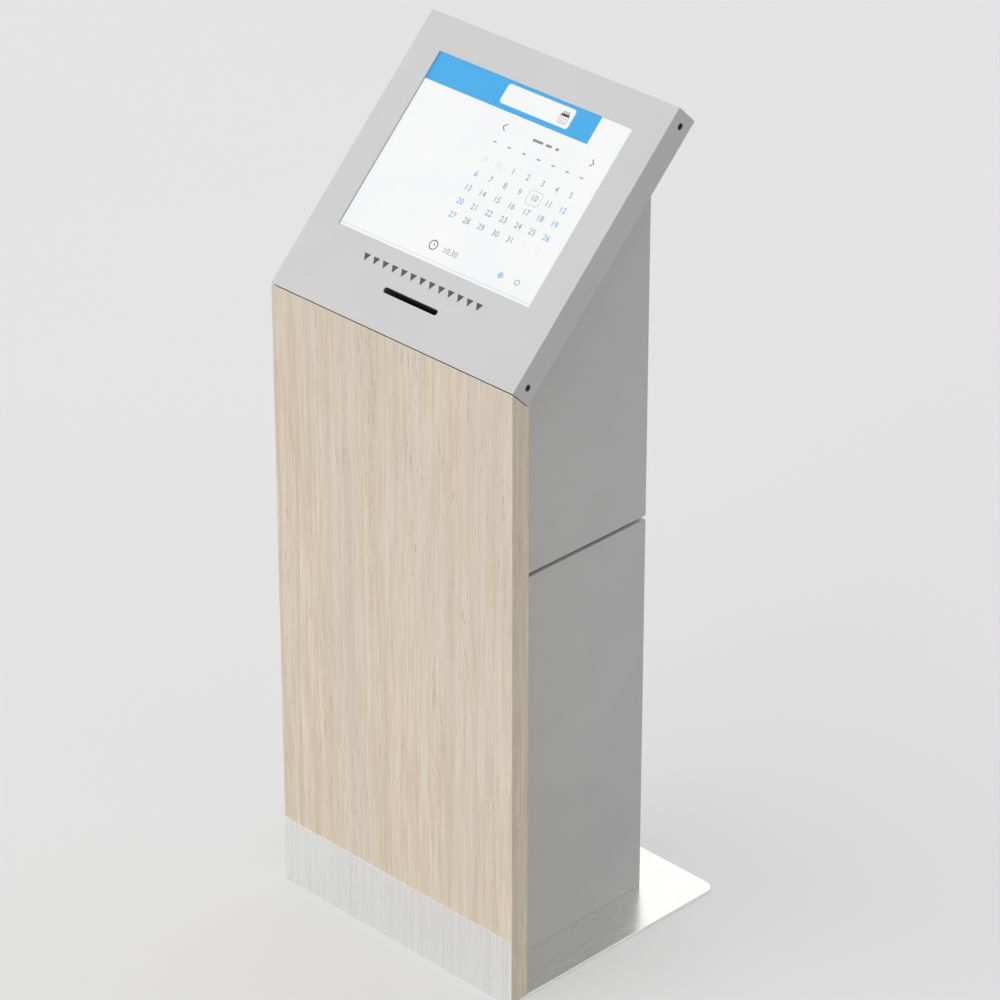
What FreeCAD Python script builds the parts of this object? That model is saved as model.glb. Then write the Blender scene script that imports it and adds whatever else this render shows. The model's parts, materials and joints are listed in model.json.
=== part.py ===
import FreeCAD, Part
import math
import os

import Sketcher

# A floor-standing queue ticket kiosk: a sheet-steel cabinet on a foot plate, an oak front board,
# and a head tray tilted by 45 degrees with a touch display and a ticket slot.
# Frame: +X to the right as seen from the front, the front faces -Y, +Z up, millimetres.
# The origin lies on the floor, under the middle of the foot plate and kick plate.

Vector = FreeCAD.Vector
doc = FreeCAD.newDocument("TicketKiosk")
sheet = doc.addObject("Spreadsheet::Sheet", "Sizes")

# Driving sizes, in millimetres, degrees and counts: alias, value, what it is
SIZES = [
    ("overall_width", 390, "fascia, front board, kick plate and foot plate"),
    ("foot_depth", 352, "foot plate, front to back"),
    ("foot_thick", 5, "foot plate"),
    ("foot_corner", 15, "radius of the rear corners of the foot plate"),
    ("anchor_spread", 150, "anchor holes, along X"),
    ("anchor_reach", 140, "anchor holes, along Y"),
    ("anchor_hole", 5.5, "radius of an anchor hole"),
    ("cable_hole", 30, "radius of the cable hole in the foot plate"),
    ("grommet_wall", 4, "rubber between the cable and the plate"),
    ("grommet_height", 9, "grommet, above the underside of the plate"),
    ("board_thick", 26, "oak front board"),
    ("board_reveal", 1, "shadow line between the board and the head tray"),
    ("kick_height", 90, "kick plate"),
    ("kick_thick", 1.5, "kick plate"),
    ("head_height", 290.3, "lower front edge of the head tray above the upper cabinet's foot"),
    ("fascia_tilt", 45, "slope of the head tray"),
    ("fascia_length", 368, "head tray along the slope"),
    ("fascia_sheet", 2, "sheet of the head tray"),
    ("flange_depth", 35, "folded edges of the head tray"),
    ("window_width", 305, "display window"),
    ("window_length", 230.3, "display window along the slope"),
    ("window_rise", 95.1, "lower edge of the window up the slope"),
    ("slot_length", 86, "ticket slot, along X"),
    ("slot_height", 7, "ticket slot, along the slope"),
    ("slot_rise", 47, "middle of the ticket slot up the slope"),
    ("screw_inset", 16, "tray screws from the tray's ends"),
    ("edge_screw_inset", 24, "screws in the tray's upper edge from its ends"),
    ("screw_depth", 18, "tray screws behind the fascia"),
    ("screw_head", 4, "radius of a tray screw's head"),
    ("screw_shank", 2.5, "radius of a tray screw's shank"),
    ("screw_length", 12, "tray screw"),
    ("bar_width", 28, "cross bars of the head, along the slope"),
    ("bar_depth", 30, "cross bars of the head, square to the fascia"),
    ("bar_wall", 3, "wall of the cross bars"),
    ("cabinet_width", 257, "both cabinets"),
    ("cabinet_depth", 261.3, "both cabinets, behind the board"),
    ("cabinet_sheet", 1.5, "sheet of the cabinets and the door"),
    ("joint_height", 516.4, "top of the lower cabinet above the floor"),
    ("joint_gap", 5.3, "shadow gap between the cabinets"),
    ("joint_recess", 10, "depth of the shadow gap"),
    ("ledge", 25, "inward ledges of the cabinets"),
    ("lip_width", 25, "outward lips of the upper cabinet under the tray"),
    ("rail_leg", 30, "legs of the front rails along the board"),
    ("rail_side", 22, "legs of the front rails along the cabinet"),
    ("rail_sheet", 2, "all angle rails"),
    ("bolt_first", 16.6, "lowest bolt of the lower cabinet above the floor"),
    ("upper_bolt_first", 43.9, "lowest bolt of the upper cabinet above its foot"),
    ("bolt_pitch", 91.5, "bolts up the cabinet side"),
    ("bolt_inset", 10, "upright row of bolts behind the board"),
    ("bolt_head", 3.4, "radius of a cabinet bolt's head"),
    ("bolt_shank", 2, "radius of a cabinet bolt's shank"),
    ("bolt_rise", 1.6, "height of a cabinet bolt's head"),
    ("bolt_length", 7, "shank of a cabinet bolt"),
    ("joint_bolt_head", 5, "radius of the head of a ledge bolt"),
    ("joint_bolt_shank", 3, "radius of the shank of a ledge bolt"),
    ("joint_bolt_rise", 4, "height of the head of a ledge bolt"),
    ("joint_nut", 5, "height of a ledge bolt's nut"),
    ("wood_screw_head", 4, "radius of a wood screw's head"),
    ("wood_screw_shank", 2, "radius of a wood screw's shank"),
    ("wood_screw_rise", 2.5, "height of a wood screw's head"),
    ("wood_screw_depth", 14, "hole for a wood screw in the board"),
    ("slope_first", 45.5, "lowest bolt of the sloping row up the slope"),
    ("slope_pitch", 91.3, "bolts of the sloping row"),
    ("slope_depth", 52, "sloping row behind the fascia"),
    ("slope_rail_depth", 66, "inner legs of the sloping rails behind the fascia"),
    ("slope_rail_leg", 25, "legs of the sloping rails"),
    ("vent_length", 84, "vent slot, along X"),
    ("vent_height", 5, "vent slot"),
    ("vent_rise", 45.5, "middle of the lowest vent slot above the door"),
    ("vent_pitch", 15, "vent slots"),
    ("door_width", 174, "access door"),
    ("door_height", 271, "access door"),
    ("door_rise", 42.3, "lower edge of the door above the upper cabinet's foot"),
    ("door_gap", 2.5, "gap round the door"),
    ("door_return", 10, "folded edges of the door"),
    ("hinge_edge", 6, "hinge axis from the door's edge"),
    ("hinge_depth", 5, "hinge axis behind the door's face"),
    ("hinge_pin", 1.5, "radius of a hinge pin"),
    ("hinge_sheet", 2, "sheet of the hinge brackets"),
    ("glass_margin", 10, "touch glass behind the tray, past the window"),
    ("glass_thick", 3, "touch glass"),
    ("panel_margin", 11, "display panel past the window"),
    ("panel_thick", 12, "display panel"),
    ("panel_rail_width", 20, "rails under the display panel"),
    ("panel_rail_sheet", 1.5, "rails under the display panel"),
    ("board_length", 120, "driver board of the display, along X"),
    ("board_width", 80, "driver board, along the slope"),
    ("spacer_height", 6, "spacers under the driver board"),
    ("paper_width", 80, "ticket paper"),
    ("frame_inside", 88, "printer frame between its cheeks"),
    ("frame_sheet", 2, "printer frame"),
    ("mount_depth", 64, "back of the printer's mounting plate behind the fascia"),
    ("mount_sheet", 2, "printer's mounting plate"),
    ("mount_length", 100, "printer's mounting plate along the slope"),
    ("cutter_depth", 18, "cutter housing, along the paper"),
    ("cutter_below", 15, "cutter housing below the slit, for the fixed blade"),
    ("cutter_above", 29, "cutter housing above the slit, for the moving blade"),
    ("cutter_wall", 4, "cutter housing round its bay"),
    ("blade_thick", 1.2, "both cutter blades"),
    ("blade_stroke", 8, "travel of the moving blade"),
    ("chute_wall", 1.5, "ticket chute"),
    ("platen_radius", 7.5, "platen roller"),
    ("platen_depth", 90, "platen axis behind the fascia"),
    ("platen_shaft", 3, "radius of the platen shaft"),
    ("bush_wall", 2, "platen bushes"),
    ("gear_module", 1, "printer gears"),
    ("gear_width", 6, "printer gears"),
    ("head_thick", 6.7, "print head"),
    ("head_length", 30, "print head, along the paper"),
    ("head_pivot_depth", 108, "print head's hinge pin behind the fascia"),
    ("head_pin", 2, "radius of the print head's hinge pin"),
    ("roll_radius", 40, "full paper roll"),
    ("core_radius", 12, "paper roll's core"),
    ("spindle_radius", 10, "spindle of the paper roll"),
    ("spindle_end", 5, "radius of the spindle's ends"),
    ("roll_rise", 60, "paper roll's axis up the slope"),
    ("roll_depth", 180, "paper roll's axis behind the fascia"),
    ("motor_radius", 17.5, "stepper motor"),
    ("motor_length", 20, "stepper motor"),
    ("motor_shaft", 2, "radius of the motor's shaft"),
    ("idler_angle", 17.64, "idler axis seen from the platen axis, up from the slope"),
    ("motor_angle", 38.96, "motor axis seen from the idler axis, down from the slope"),
    ("idler_pin", 2.5, "radius of the idler's pin"),
    ("fan_size", 80, "fan frame"),
    ("fan_depth", 25, "fan frame"),
    ("fan_holes", 71.5, "fan's mounting holes"),
    ("fan_hub", 16, "radius of the fan's hub"),
    ("fan_shaft", 2, "radius of the fan's shaft"),
    ("fan_stud", 1.9, "radius of a stud for the fan"),
    ("fan_nut", 3, "height of a fan nut"),
    ("blade_reach", 36, "tip radius of the fan's blades"),
    ("lock_inset", 29, "lock from the door's edge"),
    ("lock_rise", 140, "lock above the door's lower edge"),
    ("lock_radius", 8, "lock body"),
    ("lock_length", 18, "lock body behind the door's face"),
    ("lock_plug", 5, "radius of the lock's plug"),
    ("cam_length", 44, "lock cam from its axis"),
    ("cam_width", 12, "lock cam"),
    ("cam_thick", 2, "lock cam"),
    ("shelf_rise", 74.3, "shelf above the upper cabinet's foot"),
    ("shelf_depth", 190, "shelf, front to back"),
    ("shelf_flange", 15, "folded sides of the shelf"),
    ("controller_width", 170, "controller box"),
    ("controller_depth", 125, "controller box"),
    ("controller_height", 38, "controller box"),
    ("controller_pitch", 10.4, "cooling grooves of the controller box"),
    ("supply_width", 110, "power supply"),
    ("supply_height", 160, "power supply"),
    ("supply_depth", 40, "power supply"),
    ("supply_bottom", 280, "power supply above the floor"),
    ("terminal_width", 90, "terminal box"),
    ("terminal_height", 70, "terminal box"),
    ("terminal_depth", 45, "terminal box"),
    ("terminal_bottom", 90, "terminal box above the floor"),
    ("running_gap", 0.05, "play of a shaft in its hole"),
    ("air", 0.3, "clearance between moving parts"),
]


def join(left, sign, right, value):
    """One step of a sum or product of sizes: its expression and its value."""
    return Size("(%s %s %s)" % (text(left), sign, text(right)), value)


class Size:
    """A size with its value and the sheet expression that gives it."""

    def __init__(self, expression, value):
        self.expression = expression
        self.value = value

    def __add__(self, other):
        return join(self, "+", other, self.value + number(other))

    def __radd__(self, other):
        return join(other, "+", self, number(other) + self.value)

    def __sub__(self, other):
        return join(self, "-", other, self.value - number(other))

    def __rsub__(self, other):
        return join(other, "-", self, number(other) - self.value)

    def __mul__(self, other):
        return join(self, "*", other, self.value * number(other))

    def __rmul__(self, other):
        return join(other, "*", self, number(other) * self.value)

    def __truediv__(self, other):
        return join(self, "/", other, self.value / number(other))

    def __rtruediv__(self, other):
        return join(other, "/", self, number(other) / self.value)

    def __neg__(self):
        return Size("(0 - %s)" % self.expression, -self.value)


def number(size):
    """The value of a size or of a plain number."""
    return size.value if isinstance(size, Size) else float(size)


def text(size):
    """The sheet expression of a size or of a plain number."""
    return size.expression if isinstance(size, Size) else repr(float(size))


def cosine(angle):
    return Size("cos(%s)" % text(angle), math.cos(math.radians(number(angle))))


def sine(angle):
    return Size("sin(%s)" % text(angle), math.sin(math.radians(number(angle))))


class Sheet:
    """The driving sizes, each one an attribute of its alias."""

    def __init__(self, rows):
        for row, (alias, value, meaning) in enumerate(rows, start=1):
            sheet.set("A%d" % row, alias)
            sheet.set("B%d" % row, str(value))
            sheet.set("C%d" % row, meaning)
            sheet.setAlias("B%d" % row, alias)
            setattr(self, alias, Size("Sizes." + alias, float(value)))


d = Sheet(SIZES)
doc.recompute()

# Heights and depths that follow from the driving sizes
half_width = d.overall_width / 2
front = -(d.foot_depth + d.kick_thick) / 2
board_front = front + d.kick_thick
board_back = board_front + d.board_thick
foot_back = board_front + d.foot_depth
rear = board_back + d.cabinet_depth
rear_inside = rear - d.cabinet_sheet
side = d.cabinet_width / 2
side_inside = side - d.cabinet_sheet
cabinet_middle = board_back + d.cabinet_depth / 2
joint_top = d.joint_height + d.joint_gap
fascia_height = joint_top + d.head_height
rail_back = board_back + d.rail_side
ledge_front = rail_back + d.rail_sheet

# Places in the tilted frame of the head: x along X, y up the slope, z out of the fascia
slope_rail_low = d.slope_first - 25
fascia_back = -d.fascia_sheet
lip_front = -(d.flange_depth - d.cabinet_sheet)
flange_end = -d.flange_depth
tray_inside = half_width - d.fascia_sheet


# Every sub-part, in the order of making
parts = []


class Frame:
    """The placement that a sub-part is modelled in."""

    def __init__(self, x, y, z, turn):
        self.base = (x, y, z)
        self.turn = turn

    def place(self, item):
        numbers = [number(value) for value in self.base]
        turn = FreeCAD.Rotation(Vector(1, 0, 0), number(self.turn))
        item.Placement = FreeCAD.Placement(Vector(*numbers), turn)
        for axis, value in zip("xyz", self.base):
            if isinstance(value, Size):
                item.setExpression("Placement.Base." + axis, text(value))
        if isinstance(self.turn, Size):
            item.setExpression("Placement.Rotation.Angle", text(self.turn))


UPRIGHT = Frame(0, 0, 0, 0)
TILTED = Frame(0, board_front, fascia_height, d.fascia_tilt)


def rectangle(x_low, x_high, y_low, y_high):
    return [(x_low, y_low), (x_high, y_low), (x_high, y_high), (x_low, y_high)]


def disc(x, y, radius):
    return ("disc", x, y, radius)


def hexagon(x, y, radius):
    """A regular hexagon about a point, as a nut's outline."""
    corners = []
    for corner in range(6):
        angle = math.radians(60 * corner)
        corners.append((x + radius * math.cos(angle), y + radius * math.sin(angle)))
    return corners


def pin_point(sketch, geometry, place, x, y):
    """Holds a sketch point at a place given by two sizes."""
    for kind, value in (("DistanceX", x), ("DistanceY", y)):
        item = Sketcher.Constraint(kind, -1, 1, geometry, place, number(value))
        index = sketch.addConstraint(item)
        if isinstance(value, Size):
            sketch.setExpression("Constraints[%d]" % index, text(value))


def draw_polygon(sketch, corners):
    first = sketch.GeometryCount
    count = len(corners)
    for index in range(count):
        start = corners[index]
        end = corners[(index + 1) % count]
        line = Part.LineSegment(Vector(number(start[0]), number(start[1]), 0),
                                Vector(number(end[0]), number(end[1]), 0))
        sketch.addGeometry(line, False)
    for index in range(count):
        following = first + (index + 1) % count
        sketch.addConstraint(Sketcher.Constraint("Coincident", first + index, 2, following, 1))
    for index, corner in enumerate(corners):
        pin_point(sketch, first + index, 1, corner[0], corner[1])


def draw_disc(sketch, x, y, radius):
    circle = Part.Circle(Vector(number(x), number(y), 0), Vector(0, 0, 1), number(radius))
    geometry = sketch.addGeometry(circle, False)
    pin_point(sketch, geometry, 3, x, y)
    index = sketch.addConstraint(Sketcher.Constraint("Radius", geometry, number(radius)))
    if isinstance(radius, Size):
        sketch.setExpression("Constraints[%d]" % index, text(radius))


def origin_item(body, role):
    for item in body.Origin.OriginFeatures:
        if item.Role == role:
            return item
    raise ValueError("no origin item " + role)


def draw(body, plane, level, shapes):
    """A sketch on an origin plane of the body, moved along the plane's normal."""
    sketch = body.newObject("Sketcher::SketchObject", body.Name + "_sketch")
    sketch.AttachmentSupport = (origin_item(body, plane + "_Plane"), [""])
    sketch.MapMode = "FlatFace"
    sketch.AttachmentOffset = FreeCAD.Placement(Vector(0, 0, number(level)), FreeCAD.Rotation())
    if isinstance(level, Size):
        sketch.setExpression("AttachmentOffset.Base.z", text(level))
    for shape in shapes:
        if shape[0] == "disc":
            draw_disc(sketch, *shape[1:])
        else:
            draw_polygon(sketch, shape)
    return sketch


def feature(body, kind, plane, shapes, low, high):
    """A pad or pocket of the shapes between two levels along the plane's axis."""
    level = -high if plane == "XZ" else low
    sketch = draw(body, plane, level, shapes)
    item = body.newObject("PartDesign::" + kind, body.Name + "_" + kind.lower())
    item.Profile = sketch
    item.Length = number(high - low)
    if isinstance(high - low, Size):
        item.setExpression("Length", text(high - low))
    item.Reversed = kind == "Pocket"
    return item


def pad(body, plane, shapes, low, high):
    return feature(body, "Pad", plane, shapes, low, high)


def pocket(body, plane, shapes, low, high):
    return feature(body, "Pocket", plane, shapes, low, high)


def new_body(name, frame=UPRIGHT):
    body = doc.addObject("PartDesign::Body", name)
    body.Label = name
    frame.place(body)
    parts.append(body)
    return body


def block(name, frame, x, y, z):
    """A body that starts as a plain block between pairs of sizes."""
    body = new_body(name, frame)
    pad(body, "XY", [rectangle(x[0], x[1], y[0], y[1])], z[0], z[1])
    return body


def repeat(body, originals, axis, pitch, count):
    """Repeats features along one of the body's own axes."""
    pattern = body.newObject("PartDesign::LinearPattern", body.Name + "_row")
    pattern.Originals = originals
    pattern.Direction = (origin_item(body, axis + "_Axis"), [""])
    length = pitch * (count - 1)
    pattern.Length = number(length)
    if isinstance(length, Size):
        pattern.setExpression("Length", text(length))
    pattern.Occurrences = count
    body.Tip = pattern
    return pattern


def repeat_round(body, originals, axis, count):
    """Repeats features in a circle about one of the body's own axes."""
    pattern = body.newObject("PartDesign::PolarPattern", body.Name + "_ring")
    pattern.Originals = originals
    pattern.Axis = (origin_item(body, axis + "_Axis"), [""])
    pattern.Angle = 360
    pattern.Occurrences = count
    body.Tip = pattern
    return pattern


def fillet_upright(body, radius, wanted):
    """Rounds the upright edges whose middle the test accepts."""
    doc.recompute()
    names = []
    for index, edge in enumerate(body.Tip.Shape.Edges, start=1):
        box = edge.BoundBox
        if box.ZLength > 0.5 and box.XLength < 0.01 and box.YLength < 0.01 and wanted(box.Center):
            names.append("Edge%d" % index)
    base = body.Tip
    item = body.newObject("PartDesign::Fillet", body.Name + "_fillet")
    item.Base = (base, names)
    item.Radius = number(radius)
    if isinstance(radius, Size):
        item.setExpression("Radius", text(radius))
    return item


def group(name, frame, solids):
    """Separate solids of one kind, such as a set of screws, under one name."""
    item = doc.addObject("Part::Feature", name)
    item.Label = name
    item.Shape = Part.makeCompound(solids)
    frame.place(item)
    parts.append(item)
    return item


def fastener(place, axis, head, rise, shank, length):
    """A screw: a head standing out along the axis and a shank going in, from its seat."""
    point = Vector(*[number(value) for value in place])
    outward = Vector(*axis)
    top = Part.makeCylinder(number(head), number(rise), point, outward)
    stem = Part.makeCylinder(number(shank), number(length), point, outward * -1)
    return top.fuse(stem).removeSplitter()


def span(sign, inner, outer):
    """A stretch along X on one side of the middle, low end first."""
    return (inner, outer) if sign > 0 else (-outer, -inner)


def steps(first, pitch, count):
    return [first + pitch * step for step in range(count)]


def copies(room, pitch):
    """How many repeats of a pitch have room."""
    return int(number(room) / number(pitch)) + 1


# Places that several pieces share
rail_top = fascia_height - d.flange_depth / cosine(d.fascia_tilt)
upper_bolt = joint_top + d.upper_bolt_first
bolt_margin = d.cabinet_sheet + d.bolt_head
lower_bolts = steps(d.bolt_first, d.bolt_pitch,
                    copies(d.joint_height - bolt_margin - d.bolt_first, d.bolt_pitch))
upper_bolts = steps(upper_bolt, d.bolt_pitch,
                    copies(rail_top - bolt_margin - upper_bolt, d.bolt_pitch))
slope_count = 4
slope_bolts = steps(d.slope_first, d.slope_pitch, slope_count)
ledge_bolt_x = side_inside - d.ledge / 2
ledge_bolt_y = rear_inside - d.ledge / 2
ledge_places = [(sign * ledge_bolt_x, cabinet_middle + step * d.cabinet_depth / 4)
                for sign in (-1, 1) for step in (-1, 1)]
ledge_places += [(sign * side / 3, ledge_bolt_y) for sign in (-1, 1)]
ledge_hole = d.joint_bolt_shank + d.running_gap
wood_screw_x = side_inside - d.rail_leg / 2 - d.rail_sheet
wood_screw_heights = steps(d.bolt_first + d.bolt_pitch / 2, d.bolt_pitch * 2,
                           copies(rail_top - d.bolt_first - d.bolt_pitch, d.bolt_pitch * 2))
wood_hole = d.wood_screw_shank + d.running_gap
cable_bore = d.cable_hole - d.grommet_wall
door_bottom = joint_top + d.door_rise
door_top = door_bottom + d.door_height
opening_edge = d.door_width / 2 + d.door_gap
hinge_x = -d.door_width / 2 + d.hinge_edge
hinge_y = rear - d.hinge_depth
lock_x = d.door_width / 2 - d.lock_inset
lock_z = door_bottom + d.lock_rise
lock_back = rear - d.lock_length
vent_rows = 9
vent_first = door_top + d.vent_rise
fan_z = vent_first + d.vent_pitch * (vent_rows - 1) / 2
fan_pin = d.fan_holes / 2


def tilted_place(rise, depth):
    """The world place of a point in the tilted frame, on the middle plane."""
    y = board_front + rise * cosine(d.fascia_tilt) + depth * sine(d.fascia_tilt)
    z = fascia_height + rise * sine(d.fascia_tilt) - depth * cosine(d.fascia_tilt)
    return y, z


# Foot and front

def foot_plate():
    body = block("foot_plate", UPRIGHT, (-half_width, half_width), (board_front, foot_back),
                 (0, d.foot_thick))
    fillet_upright(body, d.foot_corner, lambda middle: middle.y > 0)
    x = d.anchor_spread / 2
    y = d.anchor_reach / 2
    holes = [disc(step * x, cabinet_middle + row * y, d.anchor_hole)
             for step in (-1, 1) for row in (-1, 1)]
    holes.append(disc(0, cabinet_middle, d.cable_hole))
    holes += [disc(place[0], place[1], ledge_hole) for place in ledge_places]
    pocket(body, "XY", holes, 0, d.foot_thick)


def cable_grommet():
    """A rubber ring: a neck inside the plate's hole and a flange on top of it."""
    body = new_body("cable_grommet")
    neck = disc(0, cabinet_middle, d.cable_hole - d.running_gap)
    flange = disc(0, cabinet_middle, d.cable_hole + d.grommet_wall)
    pad(body, "XY", [neck], d.running_gap * 4, d.foot_thick)
    pad(body, "XY", [flange], d.foot_thick, d.grommet_height)
    pocket(body, "XY", [disc(0, cabinet_middle, cable_bore)], 0, d.grommet_height)


def kick_plate():
    block("kick_plate", UPRIGHT, (-half_width, half_width), (front, board_front),
          (0, d.kick_height))


def front_board():
    """The oak board, its top end cut square to the fascia."""
    body = new_body("front_board")
    top_front = fascia_height - d.board_reveal / sine(d.fascia_tilt)
    drop = d.board_thick * cosine(d.fascia_tilt) / sine(d.fascia_tilt)
    outline = [(board_front, d.foot_thick), (board_back, d.foot_thick),
               (board_back, top_front - drop), (board_front, top_front)]
    pad(body, "YZ", [outline], -half_width, half_width)
    for sign in (-1, 1):
        holes = [disc(sign * wood_screw_x, z, wood_hole) for z in wood_screw_heights]
        pocket(body, "XZ", holes, board_back - d.wood_screw_depth, board_back)


def front_rail(name, sign):
    """An angle that joins the cabinets' side to the board."""
    body = new_body(name)
    face = board_back + d.rail_sheet
    edge = side_inside - d.rail_sheet
    outline = [(side_inside, board_back), (side_inside, rail_back), (edge, rail_back),
               (edge, face), (side_inside - d.rail_leg, face),
               (side_inside - d.rail_leg, board_back)]
    pad(body, "XY", [[(sign * x, y) for x, y in outline]], d.foot_thick, rail_top)
    row = board_back + d.bolt_inset
    holes = [disc(row, z, d.bolt_shank + d.running_gap) for z in lower_bolts + upper_bolts]
    low, high = span(sign, edge, side_inside)
    pocket(body, "YZ", holes, low, high)
    screws = [disc(sign * wood_screw_x, z, wood_hole) for z in wood_screw_heights]
    pocket(body, "XZ", screws, board_back, face)


def wood_screws():
    length = d.wood_screw_depth + d.rail_sheet - 1
    solids = [fastener((sign * wood_screw_x, board_back + d.rail_sheet, z), (0, 1, 0),
                       d.wood_screw_head, d.wood_screw_rise, d.wood_screw_shank, length)
              for sign in (-1, 1) for z in wood_screw_heights]
    group("wood_screws", UPRIGHT, solids)


# Cabinets

def bolt_row(body, heights):
    """Holes through both sides of a cabinet for the bolts of the front rails."""
    row = board_back + d.bolt_inset
    holes = [disc(row, z, d.bolt_shank + d.running_gap) for z in heights]
    pocket(body, "YZ", holes, -side, side)


def ledge_holes(body, low, high):
    """Holes for the bolts that stand upright in the ledges."""
    pocket(body, "XY", [disc(x, y, ledge_hole) for x, y in ledge_places], low, high)


def ledge_opening(body, low, high):
    """Cuts a cabinet's floor or ceiling down to ledges along the sides and the back."""
    reach = side_inside - d.ledge
    back = rear_inside - d.ledge
    pocket(body, "XY", [rectangle(-reach, reach, board_back, back)], low, high)
    for sign in (-1, 1):
        near, far = span(sign, reach - 1, side_inside)
        pocket(body, "XY", [rectangle(near, far, board_back, ledge_front)], low, high)


def lower_cabinet():
    body = block("lower_cabinet", UPRIGHT, (-side, side), (board_back, rear),
                 (d.foot_thick, d.joint_height))
    inner = rectangle(-side_inside, side_inside, board_back, rear_inside)
    pocket(body, "XY", [inner], d.foot_thick + d.cabinet_sheet, d.joint_height - d.cabinet_sheet)
    ledge_opening(body, d.foot_thick, d.joint_height)
    bolt_row(body, lower_bolts)
    ledge_holes(body, d.foot_thick, d.foot_thick + d.cabinet_sheet)
    ledge_holes(body, d.joint_height - d.cabinet_sheet, d.joint_height)


def joint_spacer():
    """The recessed ring between the cabinets that makes the shadow gap."""
    out = side - d.joint_recess
    back = rear - d.joint_recess
    body = block("joint_spacer", UPRIGHT, (-out, out), (ledge_front, back),
                 (d.joint_height, joint_top))
    reach = side_inside - d.ledge
    opening = rectangle(-reach, reach, ledge_front, rear_inside - d.ledge)
    pocket(body, "XY", [opening], d.joint_height, joint_top)
    ledge_holes(body, d.joint_height, joint_top)


def hexagon_nut(x, y, low, height, reach, bore):
    """A nut on an upright axis."""
    corners = [Vector(cx, cy, low) for cx, cy in hexagon(x, y, reach)]
    prism = Part.Face(Part.makePolygon(corners + corners[:1])).extrude(Vector(0, 0, height))
    return prism.cut(Part.makeCylinder(bore, height, Vector(x, y, low)))


def ledge_bolts():
    """Bolts through the cabinets' ledges: into the foot plate, and through the joint with nuts."""
    foot_seat = d.foot_thick + d.cabinet_sheet
    joint_seat = joint_top + d.cabinet_sheet
    under = d.joint_height - d.cabinet_sheet
    stack = joint_seat - under + d.joint_nut
    solids = []
    for x, y in ledge_places:
        for seat, length in ((foot_seat, foot_seat - 0.5), (joint_seat, stack + 1)):
            solids.append(fastener((x, y, seat), (0, 0, 1), d.joint_bolt_head,
                                   d.joint_bolt_rise, d.joint_bolt_shank, length))
        solids.append(hexagon_nut(number(x), number(y), number(under - d.joint_nut),
                                  number(d.joint_nut), number(d.joint_bolt_head) + 0.8,
                                  number(ledge_hole)))
    group("ledge_bolts", UPRIGHT, solids)


def slope_line(y, depth):
    """The height at a place y of the plane that lies a depth behind the fascia."""
    rise = (y - board_front) * sine(d.fascia_tilt) / cosine(d.fascia_tilt)
    return fascia_height + rise - depth / cosine(d.fascia_tilt)


def upper_cabinet():
    body = new_body("upper_cabinet")
    outline = [(board_back, joint_top), (rear, joint_top), (rear, slope_line(rear, d.flange_depth)),
               (board_back, slope_line(board_back, d.flange_depth))]
    pad(body, "YZ", [outline], -side, side)
    floor = joint_top + d.cabinet_sheet
    hollow = [(board_back, floor), (rear_inside, floor),
              (rear_inside, slope_line(rear_inside, 0)), (board_back, slope_line(board_back, 0))]
    pocket(body, "YZ", [hollow], -side_inside, side_inside)
    ledge_opening(body, joint_top, floor)
    bolt_row(body, upper_bolts)
    ledge_holes(body, joint_top, floor)
    door_opening = rectangle(-opening_edge, opening_edge, door_bottom - d.door_gap,
                             door_top + d.door_gap)
    pocket(body, "XZ", [door_opening], rear_inside, rear)
    reach = (d.vent_length - d.vent_height) / 2
    half = d.vent_height / 2
    slot = pocket(body, "XZ", [rectangle(-reach, reach, vent_first - half, vent_first + half)],
                  rear_inside, rear)
    ends = pocket(body, "XZ", [disc(-reach, vent_first, half), disc(reach, vent_first, half)],
                  rear_inside, rear)
    repeat(body, [slot, ends], "Z", d.vent_pitch, vent_rows)
    studs = [disc(step * fan_pin, fan_z + row * fan_pin, d.fan_stud)
             for step in (-1, 1) for row in (-1, 1)]
    pad(body, "XZ", studs, rear_inside - d.fan_depth - d.fan_nut - 1, rear_inside)
    slope_bolt_holes(body)
    cabinet_lips(body)


def cabinet_lips(body):
    """The outward folds along the cabinet's sloping edges, which carry the head."""
    low = d.fascia_sheet + 1
    high = d.fascia_length - d.fascia_sheet - 1
    fold = d.flange_depth - d.cabinet_sheet
    corners = [tilted_place(low, fold), tilted_place(low, d.flange_depth),
               tilted_place(high, d.flange_depth), tilted_place(high, fold)]
    for sign in (-1, 1):
        near, far = span(sign, side_inside, side + d.lip_width)
        pad(body, "YZ", [corners], near, far)


def slope_rail(name, sign):
    """An angle inside the cabinet's sloping edge, which carries the printer."""
    body = new_body(name, TILTED)
    inner_leg = -d.slope_rail_depth
    top = -d.slope_rail_depth + d.slope_rail_leg + d.rail_sheet
    edge = side_inside - d.rail_sheet
    outline = [(side_inside, inner_leg), (side_inside, top), (edge, top),
               (edge, inner_leg + d.rail_sheet),
               (side_inside - d.slope_rail_leg, inner_leg + d.rail_sheet),
               (side_inside - d.slope_rail_leg, inner_leg)]
    high = slope_bolts[-1] + 12
    pad(body, "XZ", [[(sign * x, z) for x, z in outline]], slope_rail_low, high)
    low, high = span(sign, edge, side_inside)
    holes = [disc(y, -d.slope_depth, d.bolt_shank + d.running_gap) for y in slope_bolts]
    pocket(body, "YZ", holes, low, high)


def slope_bolt_holes(body):
    """Holes through both sides of the upper cabinet for the bolts of the sloping rails."""
    places = [tilted_place(rise, d.slope_depth) for rise in slope_bolts]
    holes = [disc(y, z, d.bolt_shank + d.running_gap) for y, z in places]
    pocket(body, "YZ", holes, -side, side)


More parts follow.
